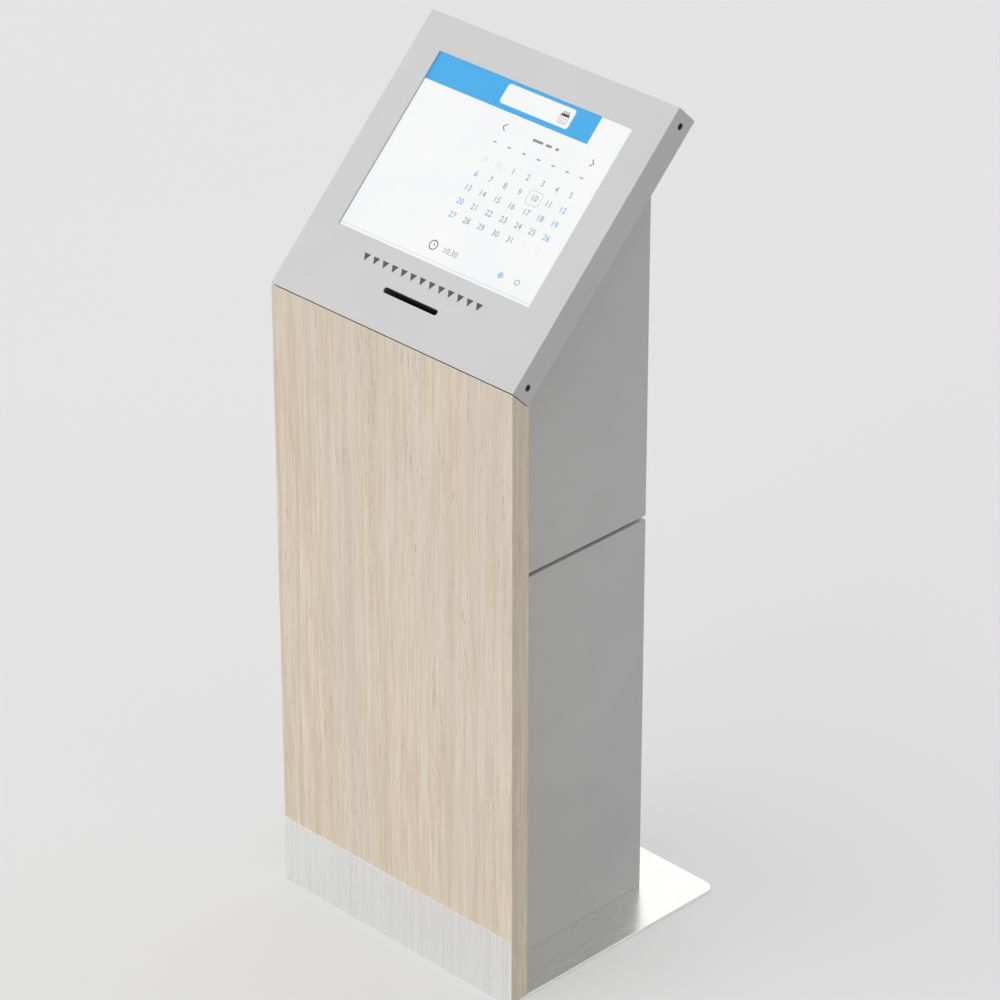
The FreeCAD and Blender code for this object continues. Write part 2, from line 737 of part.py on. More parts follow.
def cabinet_bolts():
    """The bolts in both cabinet sides: an upright row and a sloping row on each."""
    row = board_back + d.bolt_inset
    places = [(row, z) for z in lower_bolts + upper_bolts]
    places += [tilted_place(rise, d.slope_depth) for rise in slope_bolts]
    solids = [fastener((sign * side, y, z), (sign, 0, 0), d.bolt_head, d.bolt_rise,
                       d.bolt_shank, d.bolt_length) for sign in (-1, 1) for y, z in places]
    group("cabinet_bolts", UPRIGHT, solids)


# Head

screw_rows = (d.screw_inset, d.fascia_length - d.screw_inset)
edge_screw_x = half_width - d.edge_screw_inset
window_top = d.window_rise + d.window_length
window_middle = d.window_rise + d.window_length / 2


def head_tray():
    """The painted fascia with its four folded edges, window, ticket slot and screw holes."""
    body = block("head_tray", TILTED, (-half_width, half_width), (0, d.fascia_length),
                 (flange_end, 0))
    inside = rectangle(-tray_inside, tray_inside, d.fascia_sheet,
                       d.fascia_length - d.fascia_sheet)
    pocket(body, "XY", [inside], flange_end, fascia_back)
    window = rectangle(-d.window_width / 2, d.window_width / 2, d.window_rise, window_top)
    pocket(body, "XY", [window], fascia_back, 0)
    reach = (d.slot_length - d.slot_height) / 2
    half = d.slot_height / 2
    pocket(body, "XY", [rectangle(-reach, reach, d.slot_rise - half, d.slot_rise + half)],
           fascia_back, 0)
    pocket(body, "XY", [disc(-reach, d.slot_rise, half), disc(reach, d.slot_rise, half)],
           fascia_back, 0)
    hole = d.screw_head + d.running_gap
    pocket(body, "YZ", [disc(rise, -d.screw_depth, hole) for rise in screw_rows],
           -half_width, half_width)
    pocket(body, "XZ", [disc(sign * edge_screw_x, -d.screw_depth, hole)
                        for sign in (-1, 1)], d.fascia_length - d.fascia_sheet, d.fascia_length)


def cross_bar(name, low, screw_row):
    """A pressed channel across the head, open towards the back, with closed ends."""
    high = low + d.bar_width
    top = lip_front + d.bar_depth
    body = block(name, TILTED, (-tray_inside, tray_inside), (low, high), (lip_front, top))
    inside = rectangle(-tray_inside + d.bar_wall, tray_inside - d.bar_wall,
                       low + d.bar_wall, high - d.bar_wall)
    pocket(body, "XY", [inside], lip_front, top - d.bar_wall)
    hole = d.screw_shank + d.running_gap
    pocket(body, "YZ", [disc(screw_row, -d.screw_depth, hole)], -tray_inside, tray_inside)
    return body


def cross_bars():
    cross_bar("lower_cross_bar", d.fascia_sheet, screw_rows[0])
    end = d.fascia_length - d.fascia_sheet
    body = cross_bar("upper_cross_bar", end - d.bar_width, screw_rows[1])
    hole = d.screw_shank + d.running_gap
    pocket(body, "XZ", [disc(sign * edge_screw_x, -d.screw_depth, hole)
                        for sign in (-1, 1)], end - d.bar_wall, end)


def tray_screw_set():
    """Sunk socket screws: four in the tray's sides, two in its upper edge."""
    rise = number(d.fascia_sheet) - 0.4
    solids = [fastener((sign * tray_inside, row, -d.screw_depth), (sign, 0, 0), d.screw_head,
                       rise, d.screw_shank, d.screw_length)
              for sign in (-1, 1) for row in screw_rows]
    seat = d.fascia_length - d.fascia_sheet
    solids += [fastener((sign * edge_screw_x, seat, -d.screw_depth), (0, 1, 0),
                        d.screw_head, rise, d.screw_shank, d.screw_length) for sign in (-1, 1)]
    group("tray_screws", TILTED, solids)


glass_back = fascia_back - d.glass_thick
panel_back = glass_back - d.panel_thick


def display():
    """The touch glass against the tray's back, the display panel behind it and its rails."""
    x = d.window_width / 2 + d.glass_margin
    block("touch_glass", TILTED, (-x, x),
          (d.window_rise - d.glass_margin, window_top + d.glass_margin), (glass_back, fascia_back))
    x = d.window_width / 2 + d.panel_margin
    low = d.window_rise - d.panel_margin
    high = window_top + d.panel_margin
    panel = block("display_panel", TILTED, (-x, x), (low, high), (panel_back, glass_back))
    rim = rectangle(-x + 12, x - 12, low + 12, high - 12)
    pocket(panel, "XY", [rim], panel_back, panel_back + 2)
    for name, sign in (("panel_rail_left", -1), ("panel_rail_right", 1)):
        panel_rail(name, sign, low + 8, high - 8)
    driver_board()


def panel_rail(name, sign, low, high):
    """A channel that stands on the cabinet's lip and carries the display panel."""
    body = new_body(name, TILTED)
    inner = side + 1
    outer = inner + d.panel_rail_width
    wall = d.panel_rail_sheet
    outline = [(inner, lip_front), (outer, lip_front), (outer, lip_front + wall),
               (inner + wall, lip_front + wall), (inner + wall, panel_back - wall),
               (outer, panel_back - wall), (outer, panel_back), (inner, panel_back)]
    pad(body, "XZ", [[(sign * x, z) for x, z in outline]], low, high)


def driver_board():
    """The display's circuit board with its chips and plugs, on four spacers."""
    seat = panel_back + 2
    top = seat - d.spacer_height
    x = d.board_length / 2
    y = d.board_width / 2
    body = block("driver_board", TILTED, (-x, x), (window_middle - y, window_middle + y),
                 (top - 1.6, top))
    chips = [rectangle(-40, -18, window_middle - 12, window_middle + 10),
             rectangle(8, 22, window_middle - 8, window_middle + 6),
             rectangle(-50, -20, window_middle + 26, window_middle + 36),
             rectangle(30, 54, window_middle - 34, window_middle - 24)]
    pad(body, "XY", chips, top - 4, top - 1.6)
    places = [(sx * (number(x) - 5), number(window_middle) + sy * (number(y) - 5))
              for sx in (-1, 1) for sy in (-1, 1)]
    solids = [Part.makeCylinder(3, number(d.spacer_height), Vector(px, py, number(top)))
              for px, py in places]
    group("board_spacers", TILTED, solids)


# Ticket printer, in the tilted frame: the paper leaves along z, at the slot's rise

mount_back = -d.mount_depth
mount_front = mount_back + d.mount_sheet
cutter_front = mount_front + d.cutter_depth
frame_top = mount_back
web_back = frame_top - d.frame_sheet
cheek_inside = d.frame_inside / 2
cheek_outside = cheek_inside + d.frame_sheet
slit_low = d.slot_rise - d.slot_height / 2
slit_high = d.slot_rise + d.slot_height / 2
platen_rise = d.slot_rise + d.platen_radius
gear_start = cheek_outside + 2
gear_end = gear_start + d.gear_width
platen_teeth = 20
idler_teeth = 20
pinion_teeth = 12
head_low = d.slot_rise - d.air - d.head_thick
head_pivot_rise = head_low + d.head_thick / 2


def gear_reach(teeth):
    """The pitch radius of a gear."""
    return d.gear_module * teeth / 2


# Each axis of the gear train stands off the last one by the two pitch radii
to_idler = gear_reach(platen_teeth) + gear_reach(idler_teeth)
to_motor = gear_reach(idler_teeth) + gear_reach(pinion_teeth)
idler_rise = platen_rise + to_idler * cosine(d.idler_angle)
idler_depth = d.platen_depth - to_idler * sine(d.idler_angle)
motor_rise = idler_rise + to_motor * cosine(d.motor_angle)
motor_depth = idler_depth + to_motor * sine(d.motor_angle)


def slit(body, low, high):
    """The way of the ticket through a piece."""
    reach = d.slot_length / 2
    return pocket(body, "XY", [rectangle(-reach, reach, slit_low, slit_high)], low, high)


def ticket_path():
    """Chute behind the slot, and the plate on the sloping rails that the printer hangs on."""
    x = d.slot_length / 2 + d.chute_wall
    chute = block("ticket_chute", TILTED, (-x, x),
                  (slit_low - d.chute_wall, slit_high + d.chute_wall), (cutter_front, fascia_back))
    slit(chute, cutter_front, fascia_back)
    x = side_inside - d.rail_sheet - 0.5
    plate = block("printer_plate", TILTED, (-x, x),
                  (slope_rail_low, slope_rail_low + d.mount_length), (mount_back, mount_front))
    slit(plate, mount_back, mount_front)


def cutter():
    """The guillotine: a housing with a bay in which one blade slides past the other."""
    x = cheek_outside + 4
    low = slit_low - d.cutter_below
    high = slit_high + d.cutter_above
    body = block("cutter_housing", TILTED, (-x, x), (low, high), (mount_front, cutter_front))
    slit(body, mount_front, cutter_front)
    bay = cheek_outside - 0.5
    floor = mount_front + 5
    bay_low = low + d.cutter_wall
    bay_high = high - d.cutter_wall
    pocket(body, "XY", [rectangle(-bay, bay, bay_low, bay_high)], floor, cutter_front - 6)
    blade = bay - d.air
    block("fixed_blade", TILTED, (-blade, blade), (bay_low + d.air, slit_low),
          (floor, floor + d.blade_thick))
    lift = floor + d.blade_thick + d.air
    block("moving_blade", TILTED, (-blade, blade), (slit_high + 0.7, bay_high - d.air),
          (lift, lift + d.blade_thick))


def printer_frame():
    """A folded frame: a web under the mounting plate and two cheeks with all the bearings."""
    low = slope_rail_low + 2
    high = slope_rail_low + d.mount_length - 6
    web = rectangle(-cheek_outside, cheek_outside, low, high)
    body = new_body("printer_frame", TILTED)
    pad(body, "XY", [web], web_back, frame_top)
    spindle = (d.roll_rise, -d.roll_depth)
    cheek = [(low, frame_top), (low, -d.head_pivot_depth - 8),
             (spindle[0] - 18, spindle[1] - 14), (spindle[0] + 18, spindle[1] - 14),
             (high, -motor_depth - 20), (high, frame_top)]
    for sign in (-1, 1):
        near, far = span(sign, cheek_inside, cheek_outside)
        pad(body, "YZ", [cheek], near, far)
    slit(body, web_back, frame_top)
    bush = d.platen_shaft + d.bush_wall + d.running_gap
    bores = [disc(platen_rise, -d.platen_depth, bush),
             disc(head_pivot_rise, -d.head_pivot_depth, d.head_pin + d.running_gap),
             disc(spindle[0], spindle[1], d.spindle_end + d.running_gap)]
    pocket(body, "YZ", bores, -cheek_outside, cheek_outside)
    near, far = span(1, cheek_inside, cheek_outside)
    drive = [disc(motor_rise, -motor_depth, d.motor_shaft + 2),
             disc(idler_rise, -idler_depth, d.idler_pin + d.running_gap)]
    pocket(body, "YZ", drive, near, far)


def involute(angle):
    return math.tan(angle) - angle


def tooth(teeth, backlash):
    """Half outline of one tooth about the Y axis for module 1: radius and angle, root to tip."""
    pressure = math.radians(20)
    pitch = teeth / 2
    base = pitch * math.cos(pressure)
    half = math.pi / 2 / teeth - backlash / 2 / pitch + involute(pressure)
    points = [(pitch - 1.6, half), (max(pitch - 1.25, base), half)]
    for radius in (pitch - 0.35, pitch + 0.3, pitch + 0.9):
        if radius > points[-1][0]:
            flank = half - involute(math.acos(base / radius))
            points.append((radius, flank))
    return points


def gear(name, rise, depth, teeth, bore, phase):
    """A spur gear on an axis along X, made of one tooth and its pattern."""
    y, z = tilted_place(rise, depth)
    body = new_body(name, Frame(0, y, z, d.fascia_tilt + phase))
    rim = gear_reach(teeth) - d.gear_module * 1.25
    pad(body, "YZ", [disc(0, 0, rim)], gear_start, gear_end)
    right = tooth(teeth, 0.12)
    corners = [(radius, -angle) for radius, angle in right]
    corners += [(radius, angle) for radius, angle in reversed(right)]
    outline = [(d.gear_module * (radius * math.cos(angle)),
                d.gear_module * (radius * math.sin(angle))) for radius, angle in corners]
    one = pad(body, "YZ", [outline], gear_start, gear_end)
    repeat_round(body, [one], "X", teeth)
    if bore is not None:
        pocket(body, "YZ", [disc(0, 0, bore)], gear_start, gear_end)
    return body


def mesh_phase(own_teeth, other_teeth, angle, other_phase):
    """The turn in degrees that puts a gap of this gear on a tooth line of the other."""
    turned = (angle + 180 - other_phase) / (360 / other_teeth)
    return angle + (turned % 1 - 0.5) * 360 / own_teeth


def direction(rise_from, depth_from, rise_to, depth_to):
    """The angle in degrees from one axis to another in the plane of rise and height."""
    return math.degrees(math.atan2(number(depth_from) - number(depth_to),
                                   number(rise_to) - number(rise_from)))


def drive_train():
    """Pinion, idler and platen gear, in mesh at rest."""
    bore = d.platen_shaft + 0.02
    gear("platen_gear", platen_rise, d.platen_depth, platen_teeth, bore, 0)
    towards = direction(idler_rise, idler_depth, platen_rise, d.platen_depth)
    idler_phase = mesh_phase(idler_teeth, platen_teeth, towards, 0)
    gear("idler_gear", idler_rise, idler_depth, idler_teeth, d.idler_pin + d.running_gap,
         idler_phase)
    towards = direction(motor_rise, motor_depth, idler_rise, idler_depth)
    pinion_phase = mesh_phase(pinion_teeth, idler_teeth, towards, idler_phase)
    pinion = gear("motor_pinion", motor_rise, motor_depth, pinion_teeth, None, pinion_phase)
    pad(pinion, "YZ", [disc(0, 0, d.motor_shaft)], cheek_inside - d.motor_length, gear_start)


def turned_piece(name, rise, depth, stretches, bore=None):
    """A round piece on an axis along X: stretches are (radius, start, end)."""
    body = new_body(name, TILTED)
    for radius, start, end in stretches:
        pad(body, "YZ", [disc(rise, -depth, radius)], start, end)
    if bore is not None:
        start = stretches[0][1]
        end = stretches[-1][2]
        pocket(body, "YZ", [disc(rise, -depth, bore)], start, end)
    return body


def tube(radius, bore, x_low, x_high, y, z):
    """A tube on an axis along X."""
    start = Vector(number(x_low), number(y), number(z))
    length = number(x_high) - number(x_low)
    along = Vector(1, 0, 0)
    outer = Part.makeCylinder(number(radius), length, start, along)
    return outer.cut(Part.makeCylinder(number(bore), length, start, along))


def platen_bushes():
    """A flanged bush in each cheek of the printer frame."""
    sleeve = d.platen_shaft + d.bush_wall
    bore = d.platen_shaft + d.running_gap
    solids = []
    for sign in (-1, 1):
        flange = span(sign, cheek_inside - 1.2, cheek_inside)
        neck = span(sign, cheek_inside, cheek_outside + d.air)
        pieces = [tube(sleeve + 1.5, bore, flange[0], flange[1], platen_rise, -d.platen_depth),
                  tube(sleeve, bore, neck[0], neck[1], platen_rise, -d.platen_depth)]
        solids.append(pieces[0].fuse(pieces[1]).removeSplitter())
    group("platen_bushes", TILTED, solids)


def printer_rollers():
    """Platen, its bushes, the idler's pin, the motor and the paper roll."""
    half = (d.paper_width + 2) / 2
    out = gear_end + 1
    turned_piece("platen_roller", platen_rise, d.platen_depth,
                 [(d.platen_shaft, -cheek_outside - 2, -half), (d.platen_radius, -half, half),
                  (d.platen_shaft, half, out)])
    platen_bushes()
    collar = d.idler_pin + 2
    turned_piece("idler_pin", idler_rise, idler_depth,
                 [(d.idler_pin, cheek_inside, cheek_outside),
                  (collar, cheek_outside, gear_start - d.air),
                  (d.idler_pin, gear_start - d.air, gear_end + d.air),
                  (collar, gear_end + d.air, gear_end + 1.5)])
    turned_piece("stepper_motor", motor_rise, motor_depth,
                 [(d.motor_radius, cheek_inside - d.motor_length, cheek_inside)],
                 d.motor_shaft + d.running_gap)
    turned_piece("roll_spindle", d.roll_rise, d.roll_depth,
                 [(d.spindle_end + 4, -cheek_outside - 2, -cheek_outside),
                  (d.spindle_end, -cheek_outside, -cheek_inside + 0.5),
                  (d.spindle_radius, -cheek_inside + 0.5, cheek_inside - 0.5),
                  (d.spindle_end, cheek_inside - 0.5, cheek_outside + 2)])
    half = d.paper_width / 2
    turned_piece("roll_core", d.roll_rise, d.roll_depth, [(d.core_radius, -half, half)],
                 d.spindle_radius + d.running_gap * 2)
    turned_piece("paper_roll", d.roll_rise, d.roll_depth, [(d.roll_radius, -half, half)],
                 d.core_radius + 0.02)


def print_head():
    """The print head: a bar with cooling grooves that presses against the platen."""
    half = (d.paper_width + 4) / 2
    high = head_low + d.head_thick
    front_end = -d.head_pivot_depth + d.head_length
    body = block("print_head", TILTED, (-half, half), (head_low, high),
                 (-d.head_pivot_depth, front_end))
    pad(body, "YZ", [disc(head_pivot_rise, -d.head_pivot_depth, d.head_thick / 2)], -half, half)
    groove = rectangle(-half + 3, -half + 6, head_low, head_low + 3)
    first = pocket(body, "XY", [groove], -d.head_pivot_depth + 6, front_end)
    repeat(body, [first], "X", 6.6, 12)
    pocket(body, "YZ", [disc(head_pivot_rise, -d.head_pivot_depth, d.head_pin + 0.02)],
           -half, half)
    lever_out = cheek_outside + 4
    turned_piece("head_pin", head_pivot_rise, d.head_pivot_depth,
                 [(d.head_pin, -lever_out, cheek_outside + 0.5)])
    lever = new_body("head_lever", TILTED)
    tip = (head_pivot_rise - 22, -d.head_pivot_depth - 26)
    arm = [(head_pivot_rise - 4, -d.head_pivot_depth + 2),
           (tip[0] - 3, tip[1] + 3), (tip[0] + 3, tip[1] - 3),
           (head_pivot_rise + 4, -d.head_pivot_depth - 2)]
    near, far = span(-1, cheek_outside + 1, lever_out)
    pad(lever, "YZ", [disc(head_pivot_rise, -d.head_pivot_depth, 5)], near, far)
    pad(lever, "YZ", [arm], near, far)
    pad(lever, "YZ", [disc(tip[0], tip[1], 6)], near - 4, far)
    pocket(lever, "YZ", [disc(head_pivot_rise, -d.head_pivot_depth, d.head_pin + 0.02)],
           near, far)


# Door, hinges and lock

def access_door():
    """A sheet pan with folded edges, flush in the back of the upper cabinet."""
    half = d.door_width / 2
    body = block("access_door", UPRIGHT, (-half, half), (rear - d.door_return, rear),
                 (door_bottom, door_top))
    inside = rectangle(-half + d.cabinet_sheet, half - d.cabinet_sheet,
                       door_bottom + d.cabinet_sheet, door_top - d.cabinet_sheet)
    pocket(body, "XZ", [inside], rear - d.door_return, rear_inside)
    pocket(body, "XZ", [disc(lock_x, lock_z, d.lock_radius + 0.1)], rear_inside, rear)
    pin = disc(hinge_x, hinge_y, d.hinge_pin + 0.02)
    pocket(body, "XY", [pin], door_bottom, door_top)


def hinge_bracket(name, sign, edge):
    """An angle on the back wall's inside with the bore for a hinge pin."""
    body = new_body(name)
    tab = edge + sign * d.hinge_sheet
    end = edge + sign * 20
    reach = hinge_y - 5
    leg = rear_inside - d.hinge_sheet
    outline = [(reach, edge), (rear_inside, edge), (rear_inside, end), (leg, end), (leg, tab),
               (reach, tab)]
    pad(body, "YZ", [outline], hinge_x - 8, hinge_x + 8)
    bore = disc(hinge_x, hinge_y, d.hinge_pin + d.running_gap)
    low, high = (edge, tab) if sign > 0 else (tab, edge)
    pocket(body, "XY", [bore], low, high)


def hinges():
    top = door_top + d.door_gap + 1
    bottom = door_bottom - d.door_gap - 1
    hinge_bracket("hinge_bracket_upper", 1, top)
    hinge_bracket("hinge_bracket_lower", -1, bottom)
    inner_top = door_top - d.cabinet_sheet
    inner_bottom = door_bottom + d.cabinet_sheet
    solids = []
    for head, stem in (((inner_top - 2, inner_top), (inner_top, top + d.hinge_sheet - 0.2)),
                       ((inner_bottom, inner_bottom + 2),
                        (bottom - d.hinge_sheet + 0.2, inner_bottom))):
        solids.append(upright_post(d.hinge_pin * 2, head).fuse(
            upright_post(d.hinge_pin, stem)).removeSplitter())
    group("hinge_pins", UPRIGHT, solids)


def upright_post(radius, ends):
    """A round bar on the hinge axis."""
    start = Vector(number(hinge_x), number(hinge_y), number(ends[0]))
    return Part.makeCylinder(number(radius), number(ends[1]) - number(ends[0]), start)


def lock():
    """Cam lock: body with its nut in the door, turning plug and cam, strike on the wall."""
    body = new_body("lock_body")
    pad(body, "XZ", [disc(lock_x, lock_z, d.lock_radius)], lock_back, rear)
    pad(body, "XZ", [disc(lock_x, lock_z, d.lock_radius + 1.5)], rear, rear + 1.2)
    pocket(body, "XZ", [disc(lock_x, lock_z, d.lock_plug + d.running_gap)],
           lock_back, rear + 1.2)
    nut = new_body("lock_nut")
    outline = [(lock_x + x, lock_z + z) for x, z in hexagon(0, 0, number(d.lock_radius) + 4)]
    pad(nut, "XZ", [outline], rear_inside - 3, rear_inside)
    pocket(nut, "XZ", [disc(lock_x, lock_z, d.lock_radius + 0.1)], rear_inside - 3,
           rear_inside)
    plug = new_body("lock_plug")
    pad(plug, "XZ", [disc(lock_x, lock_z, d.lock_plug)], lock_back, rear + 1)
    keyway = rectangle(lock_x - 0.6, lock_x + 0.6, lock_z - 3, lock_z + 3)
    pocket(plug, "XZ", [keyway], rear - 5, rear + 1)
    cam = new_body("lock_cam")
    half = d.cam_width / 2
    cam_back = lock_back - d.cam_thick
    arm = rectangle(lock_x - half, lock_x + half, lock_z - d.cam_length, lock_z)
    pad(cam, "XZ", [arm], cam_back, lock_back)
    pad(cam, "XZ", [disc(lock_x, lock_z, half)], cam_back, lock_back)
    group("cam_screw", UPRIGHT, [Part.makeCylinder(4, 2.5, Vector(number(lock_x),
                                                   number(cam_back) - 2.5, number(lock_z)),
                                                   Vector(0, 1, 0))])
    strike()


def strike():
    """The Z-shaped plate on the back wall behind which the cam locks."""
    thick = d.hinge_sheet
    lip = lock_back + d.air
    near = opening_edge + 2
    web = near + 14
    foot = web + 10
    outline = [(near, lip), (web, lip), (web, rear_inside - thick), (foot, rear_inside - thick),
               (foot, rear_inside), (web - thick, rear_inside), (web - thick, lip + thick),
               (near, lip + thick)]
    body = new_body("lock_strike")
    pad(body, "XY", [outline], lock_z - 14, lock_z + 14)


# Fan

def fan():
    """An axial fan behind the vent slots, on four studs."""
    inner = rear_inside - d.fan_depth
    web = inner + 4
    half = d.fan_size / 2
    mouth = half - 1.5
    frame = block("fan_frame", Frame(0, 0, fan_z, 0), (-half, half), (inner, rear_inside),
                  (-half, half))
    pocket(frame, "XZ", [disc(0, 0, mouth)], inner, rear_inside)
    pad(frame, "XZ", [rectangle(-half + 1, half - 1, -2.5, 2.5)], inner, web)
    pad(frame, "XZ", [rectangle(-2.5, 2.5, -half + 1, half - 1)], inner, web)
    pad(frame, "XZ", [disc(0, 0, d.fan_hub)], inner, web)
    holes = [disc(sx * fan_pin, sz * fan_pin, d.fan_stud + 0.2)
             for sx in (-1, 1) for sz in (-1, 1)]
    pocket(frame, "XZ", holes, inner, rear_inside)
    pocket(frame, "XZ", [disc(0, 0, d.fan_shaft + d.running_gap)], inner, web)
    rotor = new_body("fan_rotor", Frame(0, 0, fan_z, 0))
    start = web + 0.5
    end = rear_inside - 3
    pad(rotor, "XZ", [disc(0, 0, d.fan_hub)], start, end)
    pad(rotor, "XZ", [disc(0, 0, d.fan_shaft)], inner, start)
    root_sketch = draw(rotor, "YZ", d.fan_hub - 1.5, [fan_chord(start, end, 1.0)])
    tip_sketch = draw(rotor, "YZ", d.blade_reach, [fan_chord(start, end, 1.9)])
    blade = rotor.newObject("PartDesign::AdditiveLoft", "fan_rotor_blade")
    blade.Profile = root_sketch
    blade.Sections = [tip_sketch]
    blade.Ruled = True
    repeat_round(rotor, [blade], "Y", 7)
    fan_nuts(inner)


def fan_nuts(seat):
    height = number(d.fan_nut)
    solids = []
    for sx in (-1, 1):
        for sz in (-1, 1):
            x = sx * number(fan_pin)
            z = number(fan_z) + sz * number(fan_pin)
            corners = [Vector(cx, number(seat), cz)
                       for cx, cz in hexagon(x, z, number(d.fan_stud) * 2.1)]
            prism = Part.Face(Part.makePolygon(corners + corners[:1])).extrude(
                Vector(0, -height, 0))
            bore = Part.makeCylinder(number(d.fan_stud + d.running_gap), height,
                                     Vector(x, number(seat), z), Vector(0, -1, 0))
            solids.append(prism.cut(bore))
    group("fan_nuts", UPRIGHT, solids)


def fan_chord(start, end, spread):
    """A blade's section: a slanted strip between the hub's two ends."""
    low = start + 1.5
    high = end - 1.5
    reach = 6 * spread
    thick = 1.4
    return [(low, -reach), (low, -reach + thick * 2), (high, reach), (high, reach - thick * 2)]


# Shelf, controller and mains pieces

def equipment():
    inner = side_inside
    wall = d.cabinet_sheet
    level = joint_top + d.shelf_rise
    top = level + wall
    drop = level - d.shelf_flange
    shelf = new_body("equipment_shelf")
    outline = [(-inner, drop), (-inner + wall, drop), (-inner + wall, level),
               (inner - wall, level), (inner - wall, drop), (inner, drop),
               (inner, top), (-inner, top)]
    pad(shelf, "XZ", [outline], rail_back + 2, rail_back + 2 + d.shelf_depth)
    half = d.controller_width / 2
    near = rail_back + 20
    box = block("controller_box", UPRIGHT, (-half, half), (near, near + d.controller_depth),
                (top, top + d.controller_height))
    groove = rectangle(-half + 10, -half + 14, near, near + d.controller_depth)
    first = pocket(box, "XY", [groove], top + d.controller_height - 10,
                   top + d.controller_height)
    count = copies(d.controller_width - 24, d.controller_pitch)
    repeat(box, [first], "X", d.controller_pitch, count)
    half = d.supply_width / 2
    low = d.supply_bottom
    supply = block("power_supply", UPRIGHT, (-half, half),
                   (board_back, board_back + d.supply_depth), (low, low + d.supply_height))
    groove = rectangle(-half + 12, half - 12, low + 15, low + 18)
    first = pocket(supply, "XZ", [groove], board_back + d.supply_depth - 3,
                   board_back + d.supply_depth)
    repeat(supply, [first], "Z", 9, 8)
    half = d.terminal_width / 2
    low = d.terminal_bottom
    middle = board_back + d.terminal_depth / 2
    box = block("terminal_box", UPRIGHT, (-half, half),
                (board_back, board_back + d.terminal_depth), (low, low + d.terminal_height))
    pad(box, "XY", [disc(0, middle, 9)], low - 12, low)
    pocket(box, "XY", [disc(0, middle, 6)], low - 12, low + 10)


def build():
    foot_plate()
    cable_grommet()
    kick_plate()
    front_board()
    front_rail("front_rail_left", -1)
    front_rail("front_rail_right", 1)
    wood_screws()
    lower_cabinet()
    joint_spacer()
    ledge_bolts()
    upper_cabinet()
    slope_rail("slope_rail_left", -1)
    slope_rail("slope_rail_right", 1)
    cabinet_bolts()
    head_tray()
    cross_bars()
    tray_screw_set()
    display()
    ticket_path()
    cutter()
    printer_frame()
    drive_train()
    printer_rollers()
    print_head()
    access_door()
    hinges()
    lock()
    fan()
    equipment()


def check():
    """Stops if a feature failed, a pocket cut nothing or a piece is not sound."""
    doc.recompute()
    for item in doc.Objects:
        if "Invalid" in item.State or "Error" in item.State:
            raise RuntimeError("failed: " + item.Name)
        if item.TypeId == "PartDesign::Pocket":
            if item.BaseFeature.Shape.Volume - item.Shape.Volume < 1e-3:
                raise RuntimeError("cuts nothing: " + item.Name)
    for item in parts:
        if item.Shape.isNull() or not item.Shape.isValid():
            raise RuntimeError("not sound: " + item.Name)


build()
check()
os.makedirs("parts", exist_ok=True)
for item in parts:
    item.Shape.exportStep(os.path.join("parts", item.Label + ".step"))
box = Part.makeCompound([item.Shape for item in parts]).BoundBox
print("%d sub-parts, %.1f x %.1f x %.1f mm" % (len(parts), box.XLength, box.YLength, box.ZLength))
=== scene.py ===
import json
from math import cos, pi, radians, sin

import bmesh
import bpy
from mathutils import Matrix, Vector


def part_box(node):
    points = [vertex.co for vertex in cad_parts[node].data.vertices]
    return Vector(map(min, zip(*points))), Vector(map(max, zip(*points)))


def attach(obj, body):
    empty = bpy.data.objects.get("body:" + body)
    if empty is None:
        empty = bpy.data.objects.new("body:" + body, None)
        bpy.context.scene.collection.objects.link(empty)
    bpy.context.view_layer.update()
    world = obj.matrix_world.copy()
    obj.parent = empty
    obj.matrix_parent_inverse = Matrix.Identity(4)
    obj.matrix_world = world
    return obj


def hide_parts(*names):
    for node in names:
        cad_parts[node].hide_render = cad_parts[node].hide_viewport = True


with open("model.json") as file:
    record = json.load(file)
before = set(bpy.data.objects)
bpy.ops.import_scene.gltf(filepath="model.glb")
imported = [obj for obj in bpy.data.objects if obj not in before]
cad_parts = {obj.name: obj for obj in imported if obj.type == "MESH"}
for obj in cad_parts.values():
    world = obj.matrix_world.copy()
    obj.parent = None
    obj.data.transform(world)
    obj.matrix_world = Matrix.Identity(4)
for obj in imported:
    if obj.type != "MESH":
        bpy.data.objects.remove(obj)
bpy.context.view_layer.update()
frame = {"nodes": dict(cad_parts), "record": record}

MM = 0.001

# ---------------------------------------------------------------- the head, in mm

# The lower front corner of its sheet, and the sine and cosine of its slope of 45 degrees.
HEAD_Y, HEAD_Z = -175.25, 812.0
SLOPE = 0.70710678
UP_SLOPE = Vector((0, SLOPE, SLOPE))
OUTWARD = Vector((0, -SLOPE, SLOPE))
# The window: half its width, and its lower and upper edge as measured up the slope.
WINDOW_X, WINDOW_LOW, WINDOW_HIGH = 152.5, 95.1, 325.4
# Depths under the sheet's face. The CAD glass ends at 5 mm. The pane shown here ends a little
# before that, and the picture lies in the gap behind it.
GLASS_FRONT, GLASS_BACK, CAD_GLASS_BACK = 2.0, 4.8, 5.0
# The picture goes on a little behind the sheet.
PICTURE_X, PICTURE_TOP = WINDOW_X + 2, WINDOW_HIGH + 1
PICTURE_MIDDLE, PICTURE_HEIGHT = (WINDOW_LOW + WINDOW_HIGH) / 2, WINDOW_HIGH - WINDOW_LOW + 4

# ---------------------------------------------------------------- colours, sRGB from 0 to 255

PAINT_DARK, PAINT_LIGHT = (203, 203, 203), (207, 207, 207)
OAK_DARK, OAK_LIGHT = (228, 211, 187), (244, 232, 214)
OAK_LINE, OAK_COOL, OAK_PORE = (208, 189, 163), (224, 216, 206), (160, 130, 98)
FLOOR_DARK, FLOOR_LIGHT = (179, 179, 179), (181, 181, 181)
WHITE = (255, 255, 255)

